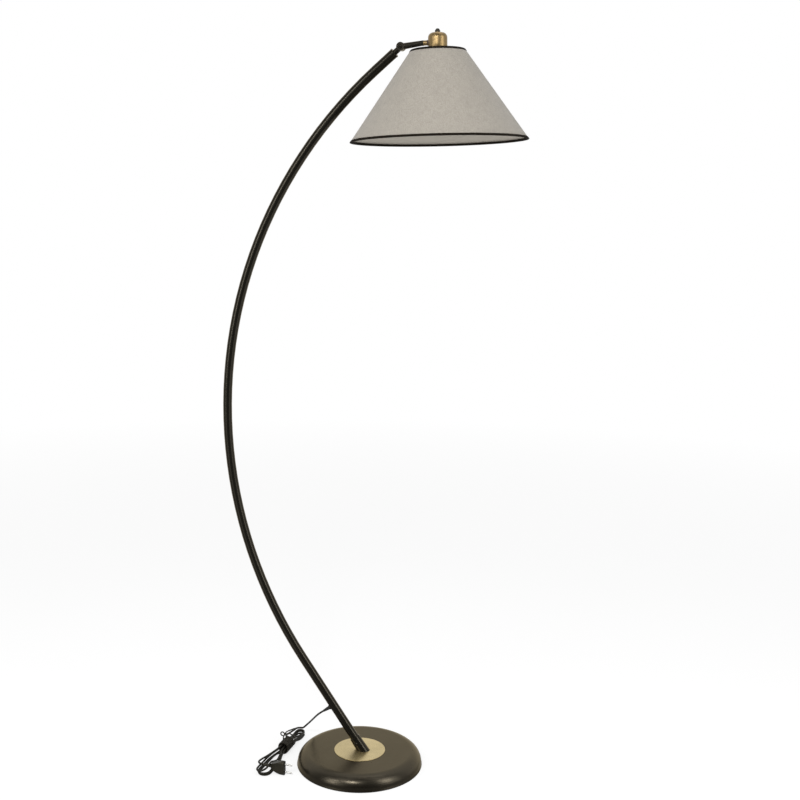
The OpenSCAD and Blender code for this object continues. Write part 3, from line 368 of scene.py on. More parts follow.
# The lapped seam: its place, how far the end laps over, the angle in which it rises, and by how much
SEAM, LAP, LAP_EASE, LAP_OVER = math.radians(150), math.radians(4.2), math.radians(1.2), 0.45 * MM
CLOTH_T, CLOTH_GAP, CLOTH_WAVE = FABRIC_T - 0.5 * MM, 0.12 * MM, 0.10 * MM
CLOTH_WAVES, CLOTH_WAVE_FROM = 5, 1.3
CLOTH_AROUND, CLOTH_DOWN, TAPE_AROUND = 288, 24, 360
# Uneven laying of the tapes: how deep, how often round the rim, and where it starts
TAPE_WAVES = ((0.07 * MM, 23, 0.0), (0.05 * MM, 41, 2.0))


def cone_point(angle, drop, depth):
    """A place on the shade: angle round the cup's axis, drop below the top edge, depth under the tapes."""
    r = SHADE_TOP_R + drop * SLOPE - depth * WIDE
    return head_frame @ Vector((r * math.cos(angle), r * math.sin(angle), -SHADE_DROP - drop))


def flat_uv(angle, drop):
    """The same place on the flat cut of the cloth, in metres."""
    r = (SHADE_TOP_R / SLOPE + drop) * WIDE
    a = (angle - SEAM) * SLOPE / WIDE
    return r * math.cos(a), r * math.sin(a)


def shade_cloth():
    """The cloth's shell: its end laps over its start by a seam allowance, and both lie under the tapes."""
    around, down = CLOTH_AROUND, CLOTH_DOWN
    top, bottom = TRIM_T, SHADE_H - TRIM_T
    verts, uv, faces = [], [], []
    for i in range(around + 1):
        angle = SEAM + i / around * (2 * math.pi + LAP)
        over = ease((angle - SEAM - 2 * math.pi + LAP_EASE) / LAP_EASE) * LAP_OVER
        for side in (0, 1):
            for k in range(down + 1):
                drop = top + (bottom - top) * k / down
                slack = math.sin(CLOTH_WAVES * angle + CLOTH_WAVE_FROM) * math.sin(math.pi * k / down)
                depth = TRIM_T + CLOTH_GAP + CLOTH_WAVE * slack - over + side * CLOTH_T
                verts.append(cone_point(angle, drop, depth))
                uv.append(flat_uv(angle, drop))
    row = 2 * (down + 1)
    for i in range(around):
        for k in range(down):
            a, b = i * row + k, (i + 1) * row + k
            faces.append((a, a + 1, b + 1, b))
            a, b = a + down + 1, b + down + 1
            faces.append((a, b, b + 1, a + 1))
        for k in (0, down):
            a, b = i * row + k, (i + 1) * row + k
            ring = (a, b, b + down + 1, a + down + 1)
            faces.append(ring if k == 0 else ring[::-1])
    for i in (0, around):
        for k in range(down):
            a = i * row + k
            ring = (a, a + down + 1, a + down + 2, a + 1)
            faces.append(ring if i == 0 else ring[::-1])
    return verts, faces, uv


verts, faces, uv = shade_cloth()
cloth = add_mesh("shade_cloth", verts, faces, "head", uv=uv)
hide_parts("shade_fabric")


def tape(name, section):
    """A folded tape round the shade's edge: a closed half section of (drop, depth), swept once round."""
    verts, uv, run = [], [], [0.0]
    for (a, b), (c, d) in zip(section, section[1:]):
        run.append(run[-1] + math.hypot(c - a, d - b))
    for i in range(TAPE_AROUND):
        angle = 2 * math.pi * i / TAPE_AROUND
        wave = sum(size * math.sin(count * angle + start) for size, count, start in TAPE_WAVES)
        for k, (drop, depth) in enumerate(section):
            verts.append(cone_point(angle, drop, depth - wave / 2 if depth < TRIM_T else depth))
            uv.append((angle * SHADE_BOTTOM_R, run[k]))
    faces = [(a, c, d, b) for a, b, d, c in swept_faces(TAPE_AROUND, len(section))]
    piece = add_mesh(name, verts, faces, "head", uv=uv)
    return piece


# The tapes' half sections in (drop, depth): outside, over the top rim, round the bottom wire, and back
INNER = TRIM_T + FABRIC_T + LINER_T
WIRE_IN = INNER + 2 * WIRE_R
OUTSIDE = (
    (TRIM_H, TRIM_T * 0.95), (TRIM_H - 0.15 * MM, TRIM_T * 0.35), (TRIM_H - 0.6 * MM, 0.02 * MM),
    (TRIM_H * 0.6, -0.04 * MM), (TRIM_H * 0.3, 0.0), (0.9 * MM, 0.05 * MM),
    (0.35 * MM, 0.28 * MM), (0.05 * MM, 0.8 * MM), (0.0, 1.6 * MM),
)
LIP = (
    (0.0, WIRE_IN - 0.9 * MM), (0.12 * MM, WIRE_IN - 0.25 * MM), (0.45 * MM, WIRE_IN),
    (0.62 * MM, WIRE_IN - 0.3 * MM),
)
ROUND_WIRE = (
    (0.0, WIRE_IN - 1.2 * MM), (0.25 * MM, WIRE_IN + 0.1 * MM), (1.0 * MM, WIRE_IN + 0.65 * MM),
    (2.2 * MM, WIRE_IN + 0.7 * MM), (3.6 * MM, WIRE_IN + 0.35 * MM), (4.5 * MM, INNER + 1.4 * MM),
    (TRIM_H, INNER + 0.3 * MM), (TRIM_H, INNER + 0.02 * MM), (4.2 * MM, INNER + 0.7 * MM),
    (3.7 * MM, INNER + 2.2 * MM), (2.4 * MM, WIRE_IN + 0.15 * MM), (1.2 * MM, WIRE_IN),
    (0.62 * MM, INNER + WIRE_R),
)
BACK = ((0.62 * MM, TRIM_T * 1.6), (0.8 * MM, TRIM_T * 1.05), (TRIM_H * 0.5, TRIM_T * 0.98))

tape_top = tape("top_tape", (*OUTSIDE, *LIP, *BACK))
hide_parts("shade_trim_top")
around_wire = (*OUTSIDE, *ROUND_WIRE, *BACK)
tape_bottom = tape("bottom_tape", [(SHADE_H - drop, depth) for drop, depth in reversed(around_wire)])
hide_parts("shade_trim_bottom")


# ---------------------------------------------------------------- the cup, with its full round shoulder

CUP_R, CUP_WALL, CUP_TOP, CUP_H = 20.6 * MM, 1.2 * MM, 24 * MM, 40 * MM
SHOULDER, CUP_EDGE, BUSH_R, BUSH_FLAT = 10.5 * MM, 0.25 * MM, 5 * MM, 2 * MM
CUP_AROUND, SHOULDER_STEPS = 128, 16


def axis_point(r, a, z):
    """A place round the cup's axis: radius, angle and height in the head's own frame."""
    return head_frame @ Vector((r * math.cos(a), r * math.sin(a), z))


def shoulder_arc(radius, steps):
    """Points of a round shoulder of the cup, from step to step of a quarter turn."""
    for k in steps:
        a = math.pi / 2 * k / SHOULDER_STEPS
        yield CUP_R - SHOULDER + radius * math.cos(a), CUP_TOP - SHOULDER + radius * math.sin(a)


def cup_section():
    """The cup's closed half section of (radius, height)."""
    low = CUP_TOP - CUP_H
    return (
        (CUP_R - CUP_EDGE, low), (CUP_R, low + CUP_EDGE), (CUP_R, 0.0),
        *shoulder_arc(SHOULDER, range(SHOULDER_STEPS + 1)),
        (BUSH_R + BUSH_FLAT, CUP_TOP), (BUSH_R, CUP_TOP), (BUSH_R, CUP_TOP - CUP_WALL),
        *shoulder_arc(SHOULDER - CUP_WALL, range(SHOULDER_STEPS, -1, -1)),
        (CUP_R - CUP_WALL, 0.0), (CUP_R - CUP_WALL, low),
    )


section = cup_section()
verts = [axis_point(r, 2 * math.pi * i / CUP_AROUND, z) for i in range(CUP_AROUND) for r, z in section]
cup_shell = add_mesh("cup_shell", verts, swept_faces(CUP_AROUND, len(section)), "head")
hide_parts("cup")


# ---------------------------------------------------------------- small forms inside the shade

# The thread runs on the lampholder's skirt, from near its end up to the ring nut under the fitter
SKIRT_R, SKIRT_LEN, FITTER_TOP, NUT_H = 19.8 * MM, 42 * MM, -31 * MM, 8 * MM
THREAD_LOW = CUP_TOP - CUP_H - SKIRT_LEN + 2 * MM
THREAD_HIGH = FITTER_TOP - NUT_H - 0.4 * MM
THREAD_PITCH, THREAD_DEPTH, THREAD_PROUD, THREAD_SUNK = 2.6 * MM, 0.45 * MM, 0.02 * MM, 0.4 * MM
THREAD_AROUND, PITCH_STEPS, FADE_STEPS, RIDGE_SHAPE = 96, 10, 8, 1.4


def screw_thread():
    """A screw thread: a helix of round ridges on the skirt, closed into a thin sleeve."""
    low, high, around = THREAD_LOW, THREAD_HIGH, THREAD_AROUND
    steps = int((high - low) / THREAD_PITCH * PITCH_STEPS)
    verts, faces = [], []
    for k in range(steps + 1):
        z = low + (high - low) * k / steps
        fade = min(1, k / FADE_STEPS, (steps - k) / FADE_STEPS)
        for i in range(around):
            a = 2 * math.pi * i / around
            ridge = 0.5 + 0.5 * math.cos(2 * math.pi * z / THREAD_PITCH - a)
            r = SKIRT_R + THREAD_DEPTH * fade * ridge**RIDGE_SHAPE + THREAD_PROUD
            verts.append(axis_point(r, a, z))
    base = len(verts)
    for z in (low, high):
        verts += [axis_point(SKIRT_R - THREAD_SUNK, 2 * math.pi * i / around, z) for i in range(around)]
    for k in range(steps):
        for i in range(around):
            a, b = k * around + i, k * around + (i + 1) % around
            faces.append((a, b, b + around, a + around))
    top = steps * around
    for i in range(around):
        j = (i + 1) % around
        faces.append((base + i, base + j, j, i))
        faces.append((top + i, top + j, base + around + j, base + around + i))
        faces.append((base + around + i, base + around + j, base + j, base + i))
    piece = add_mesh("skirt_thread", verts, faces, "head")
    return piece


thread = screw_thread()

BEAD_LONG, BEAD_WIDE, BEAD_HIGH, BEAD_SWELL = 2.6 * MM, 2.2 * MM, 1.5 * MM, 0.12
BEAD_RINGS, BEAD_SIDES, FRAME_ARMS, FIRST_ARM = 8, 14, 3, 60
FITTER_WELD_R, FITTER_WELD_DOWN = 26.2 * MM, 0.6 * MM
RIM_WELD_IN, RIM_WELD_DOWN = 0.8 * MM, 0.9 * MM


def weld_beads():
    """A small bead where each wire arm meets the fitter's ring and the rim wire."""
    rim_drop = WIRE_R + TRIM_T
    rim_r = SHADE_TOP_R + rim_drop * SLOPE - (INNER + WIRE_R) * WIDE
    places = (
        (rim_r - RIM_WELD_IN, -SHADE_DROP - rim_drop - RIM_WELD_DOWN),
        (FITTER_WELD_R, FITTER_TOP - FITTER_WELD_DOWN),
    )
    rings, sides = BEAD_RINGS, BEAD_SIDES
    verts, faces = [], []
    for k in range(FRAME_ARMS):
        turn = head_frame @ Matrix.Rotation(math.radians(FIRST_ARM + 360 / FRAME_ARMS * k), 4, "Z")
        for r, z in places:
            start = len(verts)
            for i in range(rings + 1):
                phi = math.pi * i / rings
                for j in range(sides):
                    theta = 2 * math.pi * j / sides
                    swell = math.sin(phi) * (1 + BEAD_SWELL * math.sin(3 * theta + k))
                    x = r + BEAD_LONG * math.cos(theta) * swell
                    y = BEAD_WIDE * math.sin(theta) * swell
                    verts.append(turn @ Vector((x, y, z + BEAD_HIGH * math.cos(phi))))
            for i in range(rings):
                for j in range(sides):
                    p, q = start + i * sides + j, start + i * sides + (j + 1) % sides
                    faces.append((p, q, q + sides, p + sides))
    piece = add_mesh("frame_welds", verts, faces, "head")
    return piece


welds = weld_beads()


# ---------------------------------------------------------------- materials


class Shader:
    """A small helper that makes a material and joins its nodes.

    add sets a node's properties by name, and its sockets by name or, as i0, i1 and so on, by number.
    """

    def __init__(self, name):
        self.mat = bpy.data.materials.new(name)
        self.mat.use_nodes = True
        self.tree = self.mat.node_tree
        self.tree.nodes.clear()
        self.out = self.tree.nodes.new("ShaderNodeOutputMaterial")
        self.bsdf = self.add("ShaderNodeBsdfPrincipled")
        self.link(self.bsdf.outputs[0], self.out.inputs["Surface"])
        self.place = self.add("ShaderNodeTexCoord").outputs["Object"]

    def add(self, kind, **inputs):
        node = self.tree.nodes.new(kind)
        for key, value in inputs.items():
            if key in node.bl_rna.properties:
                setattr(node, key, value)
            else:
                numbered = key[0] == "i" and key[1:].isdigit()
                socket = node.inputs[int(key[1:]) if numbered else key]
                if isinstance(value, bpy.types.NodeSocket):
                    self.link(value, socket)
                else:
                    socket.default_value = value
        return node

    def link(self, a, b):
        self.tree.links.new(a, b)

    def set(self, **values):
        for key, value in values.items():
            socket = self.bsdf.inputs[key.replace("_", " ")]
            if isinstance(value, bpy.types.NodeSocket):
                self.link(value, socket)
            else:
                socket.default_value = value
        return self

    def uv(self):
        return self.add("ShaderNodeUVMap", uv_map="flat").outputs[0]

    def scaled(self, place, scale, turn=(0, 0, 0)):
        node = self.add("ShaderNodeMapping", Vector=place)
        node.inputs["Scale"].default_value = scale
        node.inputs["Rotation"].default_value = turn
        return node.outputs[0]

    def noise(self, place, scale, detail=3.0, rough=0.5, distortion=0.0):
        node = self.add("ShaderNodeTexNoise", Vector=place)
        node.inputs["Scale"].default_value = scale
        node.inputs["Detail"].default_value = detail
        node.inputs["Roughness"].default_value = rough
        node.inputs["Distortion"].default_value = distortion
        return node.outputs["Fac"]

    def tones(self, value, colour, dark, light, start=0.3, end=0.7):
        """A colour ramp from a dark to a light strength of one colour."""
        node = self.add("ShaderNodeValToRGB", Fac=value)
        for element, at, strength in zip(node.color_ramp.elements, (start, end), (dark, light)):
            element.position = at
            element.color = (*(c * strength for c in colour), 1)
        return node.outputs["Color"]

    def span(self, value, low, high, start=0.3, end=0.7):
        """A number from low to high where the value goes from start to end."""
        node = self.add("ShaderNodeMapRange", Value=value)
        for key, number in (("From Min", start), ("From Max", end), ("To Min", low), ("To Max", high)):
            node.inputs[key].default_value = number
        return node.outputs["Result"]

    def math(self, operation, a, b=0.0, c=0.0):
        node = self.add("ShaderNodeMath", operation=operation)
        for socket, value in zip(node.inputs, (a, b, c)):
            if isinstance(value, bpy.types.NodeSocket):
                self.link(value, socket)
            else:
                socket.default_value = value
        return node.outputs[0]

    def mix(self, factor, a, b, blend="MIX"):
        node = self.tree.nodes.new("ShaderNodeMix")
        node.data_type, node.blend_type = "RGBA", blend
        for key, value in ((0, factor), (6, a), (7, b)):
            if isinstance(value, bpy.types.NodeSocket):
                self.link(value, node.inputs[key])
            else:
                node.inputs[key].default_value = (*value, 1) if key else value
        return node.outputs[2]

    def bump(self, height, distance, strength=1.0, after=None):
        node = self.add("ShaderNodeBump", Height=height)
        node.inputs["Distance"].default_value = distance
        node.inputs["Strength"].default_value = strength
        if after is not None:
            self.link(after, node.inputs["Normal"])
        return node.outputs[0]

    def soft_edges(self, radius):
        node = self.add("ShaderNodeBevel", samples=4)
        node.inputs["Radius"].default_value = radius
        return node.outputs[0]

    def dot(self, a, b):
        return self.add("ShaderNodeVectorMath", operation="DOT_PRODUCT", i0=a, i1=b).outputs["Value"]

    def glow(self, strength):
        return self.add("ShaderNodeEmission", Color=(1, 1, 1, 1), Strength=strength).outputs[0]

    def either(self, factor, a, b):
        return self.add("ShaderNodeMixShader", Fac=factor, i1=a, i2=b).outputs[0]


# The slightly warm gloss of the lamp's enamel, and of its plastic
ENAMEL_TINT = (1.0, 0.90, 0.72, 1)
PLASTIC_TINT = (1.0, 0.92, 0.76, 1)


def painted(name, colour, rough=0.26, peel=0.35, bronze=0.0, edges=True):
    """Enamel on metal: an even gloss with a faint orange peel and soft edges.

    bronze gives the gloss the enamel's own warm tone.
    """
    s = Shader(name)
    cloudy = s.noise(s.place, 14, 4, 0.6)
    fine = s.noise(s.place, 420, 2, 0.5)
    s.set(
        Base_Color=s.tones(cloudy, colour, 0.93, 1.08, 0.35, 0.68),
        Roughness=s.span(s.noise(s.place, 60, 5, 0.7), rough - 0.02, rough + 0.03),
        Normal=s.bump(fine, 0.00004, peel, s.soft_edges(0.0005) if edges else None),
        Metallic=bronze, Specular_IOR_Level=0.24, Specular_Tint=ENAMEL_TINT,
    )
    return s.mat


def turned(name, colour, axis, rough=0.3, brush=1.0, rings=2600.0):
    """Brass turned and brushed round an axis: fine rings in colour, gloss and relief, and a tarnish."""
    s = Shader(name)
    centre, direction = axis
    shift = s.add("ShaderNodeVectorMath", operation="SUBTRACT", i0=s.place)
    shift.inputs[1].default_value = centre
    turn = s.add("ShaderNodeVectorRotate", rotation_type="Y_AXIS", Vector=shift.outputs[0])
    turn.inputs["Angle"].default_value = direction
    split = s.add("ShaderNodeSeparateXYZ", Vector=turn.outputs[0])
    x, y, height = split.outputs
    reach = s.math("SQRT", s.math("ADD", s.math("POWER", x, 2.0), s.math("POWER", y, 2.0)))
    angle = s.math("ARCTAN2", y, x)
    joined = s.add(
        "ShaderNodeCombineXYZ", X=s.math("MULTIPLY", reach, rings), Y=s.math("MULTIPLY", angle, 3.0),
        Z=s.math("MULTIPLY", height, rings),
    )
    lines = s.noise(joined.outputs[0], 1.0, 3, 0.7)
    tarnish = s.noise(s.place, 22, 5, 0.65, 0.4)
    light = [c * 1.10 for c in colour]
    s.set(
        Base_Color=s.mix(s.span(lines, 0.0, 0.5), s.tones(tarnish, colour, 0.80, 1.10), light),
        Metallic=0.85,
        Roughness=s.span(lines, rough - 0.05, rough + 0.09),
        Normal=s.bump(lines, 0.00001 * brush, 0.4, s.soft_edges(0.0004)),
        Anisotropic=0.5,
        Tangent=s.add("ShaderNodeTangent", direction_type="RADIAL", axis="Z").outputs[0],
    )
    return s.mat


def plastic(name, colour, rough=0.42, grain=300.0, relief=0.00004, mould=0.5):
    """Moulded plastic: fine sparked grain, faint flow marks in the gloss."""
    s = Shader(name)
    grainy = s.noise(s.place, grain, 3, 0.6)
    flow = s.noise(s.scaled(s.place, (1, 1, 3)), 28, 4, 0.6, 0.6)
    s.set(
        Base_Color=s.tones(flow, colour, 0.85, 1.2, 0.35, 0.7),
        Roughness=s.span(flow, rough - 0.06, rough + 0.08),
        Normal=s.bump(grainy, relief, mould, s.soft_edges(0.0004)),
        Specular_IOR_Level=0.3, Specular_Tint=PLASTIC_TINT,
    )
    return s.mat


def sheathed(name, colour, rough=0.4):
    """A cord's sheath: long drawn marks along it, scuffs, and a slight bloom of the plastic."""
    s = Shader(name)
    drawn = s.noise(s.scaled(s.uv(), (26, 6, 1)), 6, 3, 0.6)
    scuff = s.noise(s.place, 110, 5, 0.7, 0.3)
    light = [c * 1.5 for c in colour]
    s.set(
        Base_Color=s.mix(s.span(scuff, 0, 0.6, 0.5, 0.8), s.tones(drawn, colour, 0.7, 1.0), light),
        Roughness=s.span(scuff, rough - 0.08, rough + 0.12),
        Normal=s.bump(drawn, 0.00005, 0.5),
        Specular_IOR_Level=0.22, Specular_Tint=PLASTIC_TINT,
    )
    return s.mat


def metal(name, colour, rough=0.3, grain=(900, 900, 90)):
    """Plated or bare metal with a drawn or rolled grain and small scratches."""
    s = Shader(name)
    drawn = s.noise(s.scaled(s.place, grain), 1.0, 3, 0.7)
    spots = s.noise(s.place, 240, 4, 0.6)
    s.set(
        Base_Color=s.tones(spots, colour, 0.82, 1.1, 0.35, 0.65),
        Metallic=1.0,
        Roughness=s.span(drawn, rough - 0.07, rough + 0.1),
        Normal=s.bump(drawn, 0.00003, 0.5, s.soft_edges(0.0003)),
    )
    return s.mat


def woven(name, warp, weft, pitch=0.00062, slub=1.0, sheen=0.25, shine=0.2):
    """Plain weave on the flat cut: threads over and under, uneven slubs, two yarns mixed, and painted
    shade and light on the weave.

    pitch is the threads' spacing in metres, and slub how uneven they are in tone.
    """
    s = Shader(name)
    flat = s.uv()
    split = s.add("ShaderNodeSeparateXYZ", Vector=flat)
    wobble = s.math("MULTIPLY", s.noise(s.scaled(flat, (260, 260, 1)), 1.0, 2), 0.00018)
    across = s.math("ADD", split.outputs[0], wobble)
    along = s.math("ADD", split.outputs[1], wobble)
    turn = math.pi / pitch
    u, v = s.math("MULTIPLY", across, turn), s.math("MULTIPLY", along, turn)
    su, sv = s.math("SINE", u), s.math("SINE", v)
    warp_up = s.math("MULTIPLY", su, su)
    weft_up = s.math("MULTIPLY", sv, sv)
    half_u, half_v = (s.math("SINE", s.math("MULTIPLY", way, 0.5)) for way in (u, v))
    chosen = s.span(s.math("MULTIPLY", half_u, half_v), 0.0, 1.0, -0.15, 0.15)
    height = s.mix(chosen, warp_up, weft_up)
    slub_u = s.noise(s.scaled(flat, (1500, 70, 1)), 1.0, 4, 0.65)
    slub_v = s.noise(s.scaled(flat, (70, 1500, 1)), 1.0, 4, 0.65)
    blotch = s.noise(s.scaled(flat, (34, 34, 1)), 1.0, 5, 0.7)
    dark, light = 1 - 0.22 * slub, 1 + 0.12 * slub
    yarns = s.mix(chosen, s.tones(slub_u, warp, dark, light), s.tones(slub_v, weft, dark, light))
    fleck = s.noise(s.scaled(flat, (420, 420, 1)), 1.0, 3, 0.7)
    heather = s.span(fleck, 1 - 0.055 * slub, 1 + 0.045 * slub)
    shade = s.math("MULTIPLY", s.span(blotch, 0.95, 1.04), heather)
    # Painted shade and light on the weave: over the cloth's random tone held in shade, the colour darkens
    # where the threads dip and lightens a little on their crowns
    depth = s.math("MULTIPLY", shade, s.span(height, 0.86, 1.04, 0.0, 1.0))
    tone_and_weave_shade = s.add("ShaderNodeCombineXYZ", X=depth, Y=depth, Z=depth).outputs[0]
    s.set(
        Base_Color=s.mix(1.0, yarns, tone_and_weave_shade, "MULTIPLY"), Roughness=0.92,
        Normal=s.bump(height, 0.00010, 0.7, s.bump(s.math("ADD", slub_u, slub_v), 0.0001, 0.5)),
        Sheen_Weight=sheen, Sheen_Roughness=0.5, Specular_IOR_Level=shine,
    )
    return s.mat


def felt(name, colour):
    s = Shader(name)
    hair = s.noise(s.place, 1500, 4, 0.8)
    clump = s.noise(s.place, 90, 4, 0.6)
    s.set(
        Base_Color=s.tones(clump, colour, 0.7, 1.4),
        Roughness=0.97, Normal=s.bump(hair, 0.0003, 0.9), Sheen_Weight=0.4, Specular_IOR_Level=0.1,
    )
    return s.mat


def cast(name, colour):
    s = Shader(name)
    sand = s.noise(s.place, 260, 6, 0.75)
    s.set(
        Base_Color=s.tones(sand, colour, 0.7, 1.25),
        Metallic=0.6, Roughness=s.span(sand, 0.55, 0.8), Normal=s.bump(sand, 0.0004, 0.8),
    )
    return s.mat


def lining(name, colour):
    """Styrene lining behind the cloth, with a soft fibre pressed into it and faint handling marks."""
    s = Shader(name)
    fibre = s.noise(s.scaled(s.place, (1, 1, 2)), 160, 5, 0.7, 1.2)
    cloud = s.noise(s.place, 9, 4, 0.6)
    dark = [c * 0.9 for c in colour]
    s.set(
        Base_Color=s.mix(s.span(fibre, 0, 0.35), s.tones(cloud, colour, 0.95, 1.0), dark),
        Roughness=s.span(fibre, 0.5, 0.66), Normal=s.bump(fibre, 0.00006, 0.5),
    )
    return s.mat


def stained_wood(name, colour):
    s = Shader(name)
    grain = s.noise(s.scaled(s.place, (700, 120, 120)), 1.0, 4, 0.7, 0.8)
    s.set(
        Base_Color=s.tones(grain, colour, 0.6, 1.4),
        Roughness=s.span(grain, 0.42, 0.58), Normal=s.bump(grain, 0.00005, 0.6),
    )
    return s.mat


def glazed(name, colour):
    s = Shader(name)
    speck = s.noise(s.place, 500, 3, 0.6)
    s.set(
        Base_Color=s.tones(speck, colour, 0.9, 1.0, 0.25, 0.45),
        Roughness=s.span(speck, 0.12, 0.22), Normal=s.bump(speck, 0.00002, 0.4), Coat_Weight=0.4,
    )
    return s.mat


def frosted(name, colour):
    """Bulb glass with a white coating inside: mostly scattered light under a clear skin."""
    s = Shader(name)
    powder = s.noise(s.place, 350, 4, 0.7)
    s.set(
        Base_Color=s.tones(powder, colour, 0.96, 1.0),
        Roughness=s.span(powder, 0.16, 0.24), Normal=s.bump(powder, 0.00001, 0.4),
        Transmission_Weight=0.25, Coat_Weight=0.6, Coat_Roughness=0.05, IOR=1.5,
    )
    return s.mat


def pin_metal(name, colour, sleeve, edge):
    """Nickel pins, drawn along their length, with a dull sleeve from the plug up to an edge in X."""
    s = Shader(name)
    split = s.add("ShaderNodeSeparateXYZ", Vector=s.place)
    bare = s.math("GREATER_THAN", split.outputs[0], edge)
    drawn = s.noise(s.scaled(s.place, (60, 900, 900)), 1.0, 3, 0.7)
    dull = s.math("MULTIPLY", s.math("SUBTRACT", 1.0, bare), 0.25)
    s.set(
        Base_Color=s.mix(bare, sleeve, s.tones(drawn, colour, 0.85, 1.0)),
        Metallic=bare, Roughness=s.math("ADD", s.span(drawn, 0.2, 0.3), dull),
        Normal=s.bump(drawn, 0.00002, 0.4),
    )
    return s.mat


BLACK, CREAM, BRASS = (0.027, 0.0245, 0.0190), (0.70, 0.67, 0.60), (0.72, 0.56, 0.28)
PIN_SLEEVE = 1.5
cup_centre = tuple(head_frame @ Vector((0, 0, 0)))
black = painted("enamel_black", BLACK, 0.22, 0.25, 0.7)
# The disc, the cup, the nipple and the switch washer are one brass, given two colours as painted light and
# shade: lighter on the disc, which faces up, and much darker on the cup's sides
lit_disc_brass = turned("brass_disc_painted_light", (0.555, 0.445, 0.225), ((0, 0, 0), 0.0), 0.30)
shaded_cup_brass = turned("brass_cup_painted_shade", (0.245, 0.170, 0.076), (cup_centre, HEAD_TILT), 0.35)
bakelite = plastic("plastic_black", (0.016, 0.015, 0.014), 0.34)
steel = metal("steel_zinc", (0.62, 0.62, 0.60), 0.32)
wire_sheath = plastic("wire_sheath", (0.03, 0.03, 0.03), 0.45)
looks = {
    # The base cover's enamel is the stem's black enamel made lighter: painted light for its top, which
    # faces the bright room
    "base_cover": painted("enamel_base_painted_light", (0.060, 0.052, 0.0385), 0.29, 0.2, 0.92),
    "base_ballast": cast("iron_cast", (0.16, 0.16, 0.165)),
    "base_pad": felt("felt_black", (0.03, 0.03, 0.03)),
    "base_disc": lit_disc_brass,
    "stem_socket": black,
    "socket_screw": black,
    "base_stud": steel,
    "stud_washer": steel,
    "stud_nut": steel,
    "stem_tube": painted("enamel_stem", BLACK, 0.22, 0.15, 0.7, edges=False),
    "stem_end_plug": black,
    "stem_wire": wire_sheath,
    "cord_relief": plastic("rubber_relief", (0.02, 0.02, 0.02), 0.55),
    "plug_body": plastic("plug_black", (0.020, 0.018, 0.0125), 0.46, 500, 0.00008, 0.8),
    "plug_pins": pin_metal(
        "pins_nickel", (0.66, 0.65, 0.62), (0.02, 0.02, 0.02), (PLUG_FACE_X + PIN_SLEEVE) * MM
    ),
    "knuckle_neck": black,
    "knuckle_screw": black,
    "knuckle_washer": plastic("fibre_washer", (0.10, 0.075, 0.06), 0.7),
    "knuckle_nut": metal("steel_blackened", (0.05, 0.047, 0.042), 0.38),
    "arm": black,
    "arm_wire": wire_sheath,
    "nipple": shaded_cup_brass,
    "nipple_washer": stained_wood("washer_brown", (0.05, 0.022, 0.015)),
    "nipple_nut": steel,
    "switch_body": bakelite,
    "switch_washer": shaded_cup_brass,
    "switch_bezel": bakelite,
    "push_button": bakelite,
    "lampholder_body": bakelite,
    "lampholder_insert": glazed("ceramic_white", (0.78, 0.77, 0.73)),
    "lampholder_sleeve": metal("brass_sheet", BRASS, 0.28),
    "centre_contact": metal("brass_contact", BRASS, 0.28),
    "shade_ring_nut": bakelite,
    "shade_frame": painted("enamel_cream", CREAM, 0.4),
    "shade_bottom_wire": painted("enamel_wire", CREAM, 0.4),
    "shade_liner": lining("styrene_lining", (0.56, 0.52, 0.452)),
    "bulb_cap": metal("bulb_cap_metal", (0.72, 0.72, 0.71), 0.25),
    "bulb_glass": frosted("glass_frosted", (0.86, 0.85, 0.81)),
}
for name, material in looks.items():
    nodes[name].data.materials.clear()
    nodes[name].data.materials.append(material)

linen = woven("cloth_linen", (0.435, 0.399, 0.343), (0.462, 0.425, 0.369), slub=1.9)
trim_cloth = woven("cloth_trim", (0.0125, 0.0095, 0.0065), (0.014, 0.0105, 0.007), 0.0005, 0.6, 0.0, 0.06)
for piece, material in (
    (cord, sheathed("sheath_cord", (0.015, 0.0135, 0.0100), 0.46)),
    (tie, sheathed("sheath_tie", (0.030, 0.027, 0.020), 0.35)),
    (cloth, linen),
    (tape_top, trim_cloth),
    (tape_bottom, trim_cloth),
    (thread, bakelite),
    (cup_shell, shaded_cup_brass),
    (welds, looks["shade_frame"]),
):
    piece.data.materials.append(material)


# ---------------------------------------------------------------- floor, world and lamps

FLOOR_R, FLOOR_Z, FLOOR_SIDES = 9.0, -0.0002, 96
# The floor near the object glows a little and takes its shadow; between these reaches it turns plain white
FLOOR_GLOW, FLOOR_GREY, FLOOR_BOUNCE = 0.76, 0.34, 0.90
FLOOR_FADE = (1.6, 4.5)
# In reflections alone, the room grows bright towards this heading, on the floor and in the world
BEHIND = (-0.30, 0.954, 0.0)
FLOOR_DARK, FLOOR_TURN, WORLD_TURN = 0.02, (-0.28, 0.24), (-0.25, 0.35)
# Two tall soft boxes that only reflections see, left and right of the front: headings, light and edge
BOXES = ((math.radians(-119), 1.0), (math.radians(-11), 1.4))
BOX_EDGE = (math.cos(math.radians(24)), math.cos(math.radians(9)))
BOX_FOOT = (0.35, 0.9)


